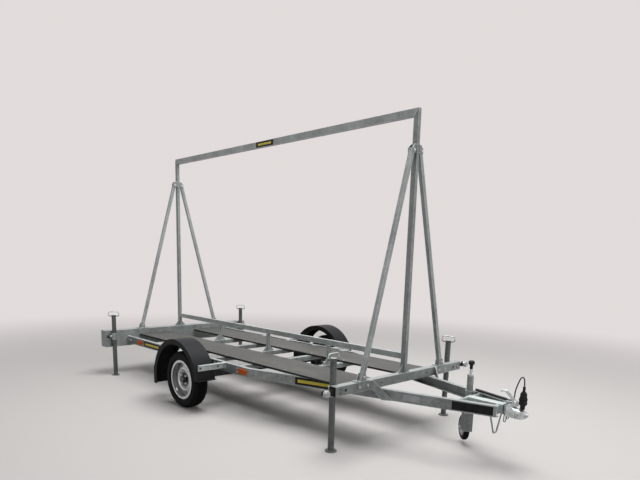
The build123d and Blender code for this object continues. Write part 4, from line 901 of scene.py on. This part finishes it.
# ---- Jockey wheel ----
# A telescoping tube with a bright collar and spindle, a black mushroom grip, a pressed fork, and a
# solid rubber tyre on a light moulded centre.
tube_zinc = zinc_finish("jockey_tube_zinc", 0.22, 0.42, 0.5)
tube_zinc.paint("jockey_outer", "jockey_inner")
fork_zinc = zinc_finish("jockey_fork_zinc", 0.13, 0.27, 0.45)
fork_zinc.paint("jockey_fork")
crank_low, crank_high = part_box("jockey_crank")
spindle = (crank_low + crank_high) / 2
JOCKEY_AT = Matrix.Translation((spindle.x, spindle.y, crank_low.z))
knob_top = crank_high.z - crank_low.z
bm = bmesh.new()
lathe(bm, JOCKEY_AT, [(-0.0125, 0.0240), (-0.012, 0.0246), (-0.001, 0.0246), (0.0005, 0.0225),
                      (0.001, 0.0128), (0.006, 0.0128), (0.0065, 0.0080), (0.020, 0.0080),
                      (0.0205, 0.0110), (0.028, 0.0110), (0.0285, 0.0078), (0.046, 0.0078)], 32)
dressed("jockey_spindle", bm, bright, "jockey_leg")
bm = bmesh.new()
lathe(bm, JOCKEY_AT, [(0.042, 0.0100), (0.046, 0.0125), (0.066, 0.0118), (0.076, 0.0150),
                      (0.080, 0.0215), (0.084, 0.0238), (0.094, 0.0240), (0.101, 0.0222),
                      (knob_top - 0.002, 0.0160), (knob_top, 0.0080)], 40)
dressed("jockey_grip", bm, grip, "jockey_leg", ["jockey_crank"])

CASTER_HEADING = math.radians(136)
roller_low, roller_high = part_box("jockey_wheel")
roller = (roller_low + roller_high) / 2
turned = Matrix.Translation(roller) @ Matrix.Rotation(CASTER_HEADING, 4, "Z")
ROLLER_RADIUS = (roller_high.z - roller_low.z) / 2
bm = bmesh.new()
spun(bm, [(0.065, 0.0120), (0.067, 0.0200), (0.074, 0.0218), (0.086, 0.0215), (0.094, 0.0180),
          (ROLLER_RADIUS - 0.0012, 0.0120), (ROLLER_RADIUS, 0.0050)], 64)
bm.transform(turned)
dressed("jockey_tyre", bm, rubber, "jockey_roller", ["jockey_wheel"])
centre_white = mottled("moulded_wheel_centre", (40.0, 3.0), (0.36, 0.36, 0.35), (0.50, 0.50, 0.48),
                       relief=(0.0005, 0.3), roughness=0.45)
bm = bmesh.new()
spun(bm, [(0.0062, 0.0215), (0.0180, 0.0215), (0.0200, 0.0190), (0.0220, 0.0090), (0.0300, 0.0060),
          (0.0540, 0.0060), (0.0580, 0.0190), (0.0600, 0.0205), (0.0680, 0.0203), (0.0665, 0.0120)], 64)
bm.transform(turned)
dressed("jockey_wheel_centre", bm, centre_white, "jockey_roller")
bm = bmesh.new()
for sign, fixing in ((-1, nut), (1, bolt)):
    outward = turned.to_3x3() @ Vector((0, sign, 0))
    fixing(bm, roller + outward * 0.0320, outward, 0.015)
dressed("jockey_axle_bolt", bm, plated, "jockey_caster")
bm = bmesh.new()
outward = Vector((TAPER, 1, 0)).normalized()
for x in (spindle.x - 0.018, spindle.x + 0.018):
    bolt(bm, (x, rail_y(x) + 0.0002, WEB_MIDDLE), outward, 0.017)
dressed("jockey_clamp_bolts", bm, plated, "chassis")

# ---- Marker lamps, reflectors and rear lamps ----
# White position lamps on rubber arms, amber side reflectors, and rear lamps in three moulded
# sections with prisms behind a smooth face.
arm_rubber = mottled("lamp_arm_rubber", (30.0, 4.0), (0.006, 0.006, 0.007), (0.018, 0.018, 0.019),
                     gloss=(0.2, 0.5), relief=(0.0006, 0.4), specular=0.15)
arm_rubber.paint("marker_arms")


def lens(name, dark, light):
    """Clear-coated moulded plastic with a fine pattern of prisms under its skin."""
    made = Finish(name, roughness=0.3, coat=0.3, specular=0.3)
    made.shader.inputs["Coat Roughness"].default_value = 0.06
    prisms = made.cells(260.0)
    made.feed(Base_Color=made.ramp(prisms, [(0.2, dark), (0.8, light)]))
    made.bump(prisms, 0.0008, 0.5)
    return made


white_lens = lens("white_lens", (0.38, 0.39, 0.40), (0.60, 0.61, 0.62))
white_lens.paint("marker_lenses")
amber_lens = lens("amber_lens", (0.62, 0.085, 0.004), (0.90, 0.16, 0.012))
amber_lens.paint("side_reflectors")
red_lens = lens("red_lens", (0.26, 0.008, 0.008), (0.50, 0.022, 0.018))
lamp_shell = mottled("lamp_shell", (50.0, 3.0), (0.012, 0.012, 0.013), (0.028, 0.028, 0.030),
                     gloss=(0.2, 0.35), relief=(0.0004, 0.3), specular=0.2)
lamp_shell.paint("rear_lamps")

rear_lamp_low, rear_lamp_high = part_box("rear_lamps")
LENS_HEIGHT, LENS_DEPTH = 0.092, 0.0045
LAMP_Y = rear_lamp_high.y - 0.112
lamp_z = (rear_lamp_low.z + rear_lamp_high.z) / 2
for name, finish, slot, offset, width in (
        ("indicator_lenses", amber_lens, "amber_lens", 0.066, 0.068),
        ("tail_lenses", red_lens, "red_lens", -0.006, 0.068),
        ("reverse_lenses", white_lens, "white_lens", -0.076, 0.064)):
    bm = bmesh.new()
    for sign in (-1, 1):
        tile(bm, (rear_lamp_low.x + 0.0004, sign * (LAMP_Y + offset), lamp_z), (0, -1, 0), Z,
             width, LENS_HEIGHT, LENS_DEPTH, 0.008)
    dressed(name, bm, finish, "chassis")
bm = bmesh.new()
marker_low, marker_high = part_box("marker_lenses")
MARKER_Y, MARKER_Z = marker_high.y - 0.026, (marker_low.z + marker_high.z) / 2
for sign in (-1, 1):
    lathe(bm, seat((marker_low.x - 0.0005, sign * MARKER_Y, MARKER_Z), (1, 0, 0)),
          [(0.0, 0.0268), (0.006, 0.0268), (0.0075, 0.0262), (0.0078, 0.0262)], 40)
dressed("lamp_trim", bm, plated, "chassis")

# ---- Blank labels ----
# Adhesive film laid on the rails and the top beam, with nothing printed on it: a black ground with
# a plain yellow band, a black strip by the coupling and a small grey plate.
FILM_WEAR = {"gloss": (0.2, 0.3), "relief": (0.0003, 0.2)}
film_black = mottled("label_black", (22.0, 4.0), (0.006, 0.006, 0.006), (0.018, 0.018, 0.019), (0.3, 0.75),
                     specular=0.15, **FILM_WEAR)
film_yellow = mottled("label_yellow", (22.0, 4.0), (0.72, 0.56, 0.02), (0.84, 0.68, 0.04),
                      coat=0.3, **FILM_WEAR)
film_grey = mottled("label_grey", (22.0, 4.0), (0.40, 0.41, 0.42), (0.52, 0.53, 0.54),
                    coat=0.2, **FILM_WEAR)

FILM, BAND_FILM, PLATE = 0.0006, 0.0005, 0.0008
RAIL_LABELS = ((-1.635, 0.36, 0.058, True), (0.785, 0.37, 0.062, True), (2.015, 0.290, 0.062, False))
PLATE_X = 1.585
TOP_LABEL_X = -0.545
TOP_BEAM_SIDE = 0.0151


def label(bm, middle, out, length, height, thick, corner):
    """A strip of film on an upright face that looks towards out."""
    tile(bm, middle, Z.cross(out), Z, length, height, thick, corner)


black_bm, yellow_bm, grey_bm = bmesh.new(), bmesh.new(), bmesh.new()
for sign in (-1, 1):
    straight, slope = Vector((0, sign, 0)), Vector((TAPER, sign, 0)).normalized()
    for x, length, height, banded in RAIL_LABELS:
        out = slope if x > BEND_X else straight
        middle = Vector((x, sign * rail_y(x), WEB_MIDDLE)) + out * 0.0002
        label(black_bm, middle, out, length, height, FILM, 0.004)
        if banded:
            label(yellow_bm, middle + out * FILM, out, length - 0.05, height * 0.42, BAND_FILM, 0.003)
    middle = Vector((PLATE_X, sign * rail_y(PLATE_X), WEB_MIDDLE)) + slope * 0.0002
    label(grey_bm, middle, slope, 0.13, 0.045, PLATE, 0.003)
    middle = Vector((TOP_LABEL_X, sign * TOP_BEAM_SIDE, (top_low.z + top_high.z) / 2))
    label(black_bm, middle, straight, 0.27, 0.050, FILM, 0.004)
    label(yellow_bm, middle + straight * FILM, straight, 0.21, 0.020, BAND_FILM, 0.003)
dressed("labels_black", black_bm, film_black, "chassis")
dressed("labels_yellow", yellow_bm, film_yellow, "chassis")
dressed("labels_grey", grey_bm, film_grey, "chassis")

low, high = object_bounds()
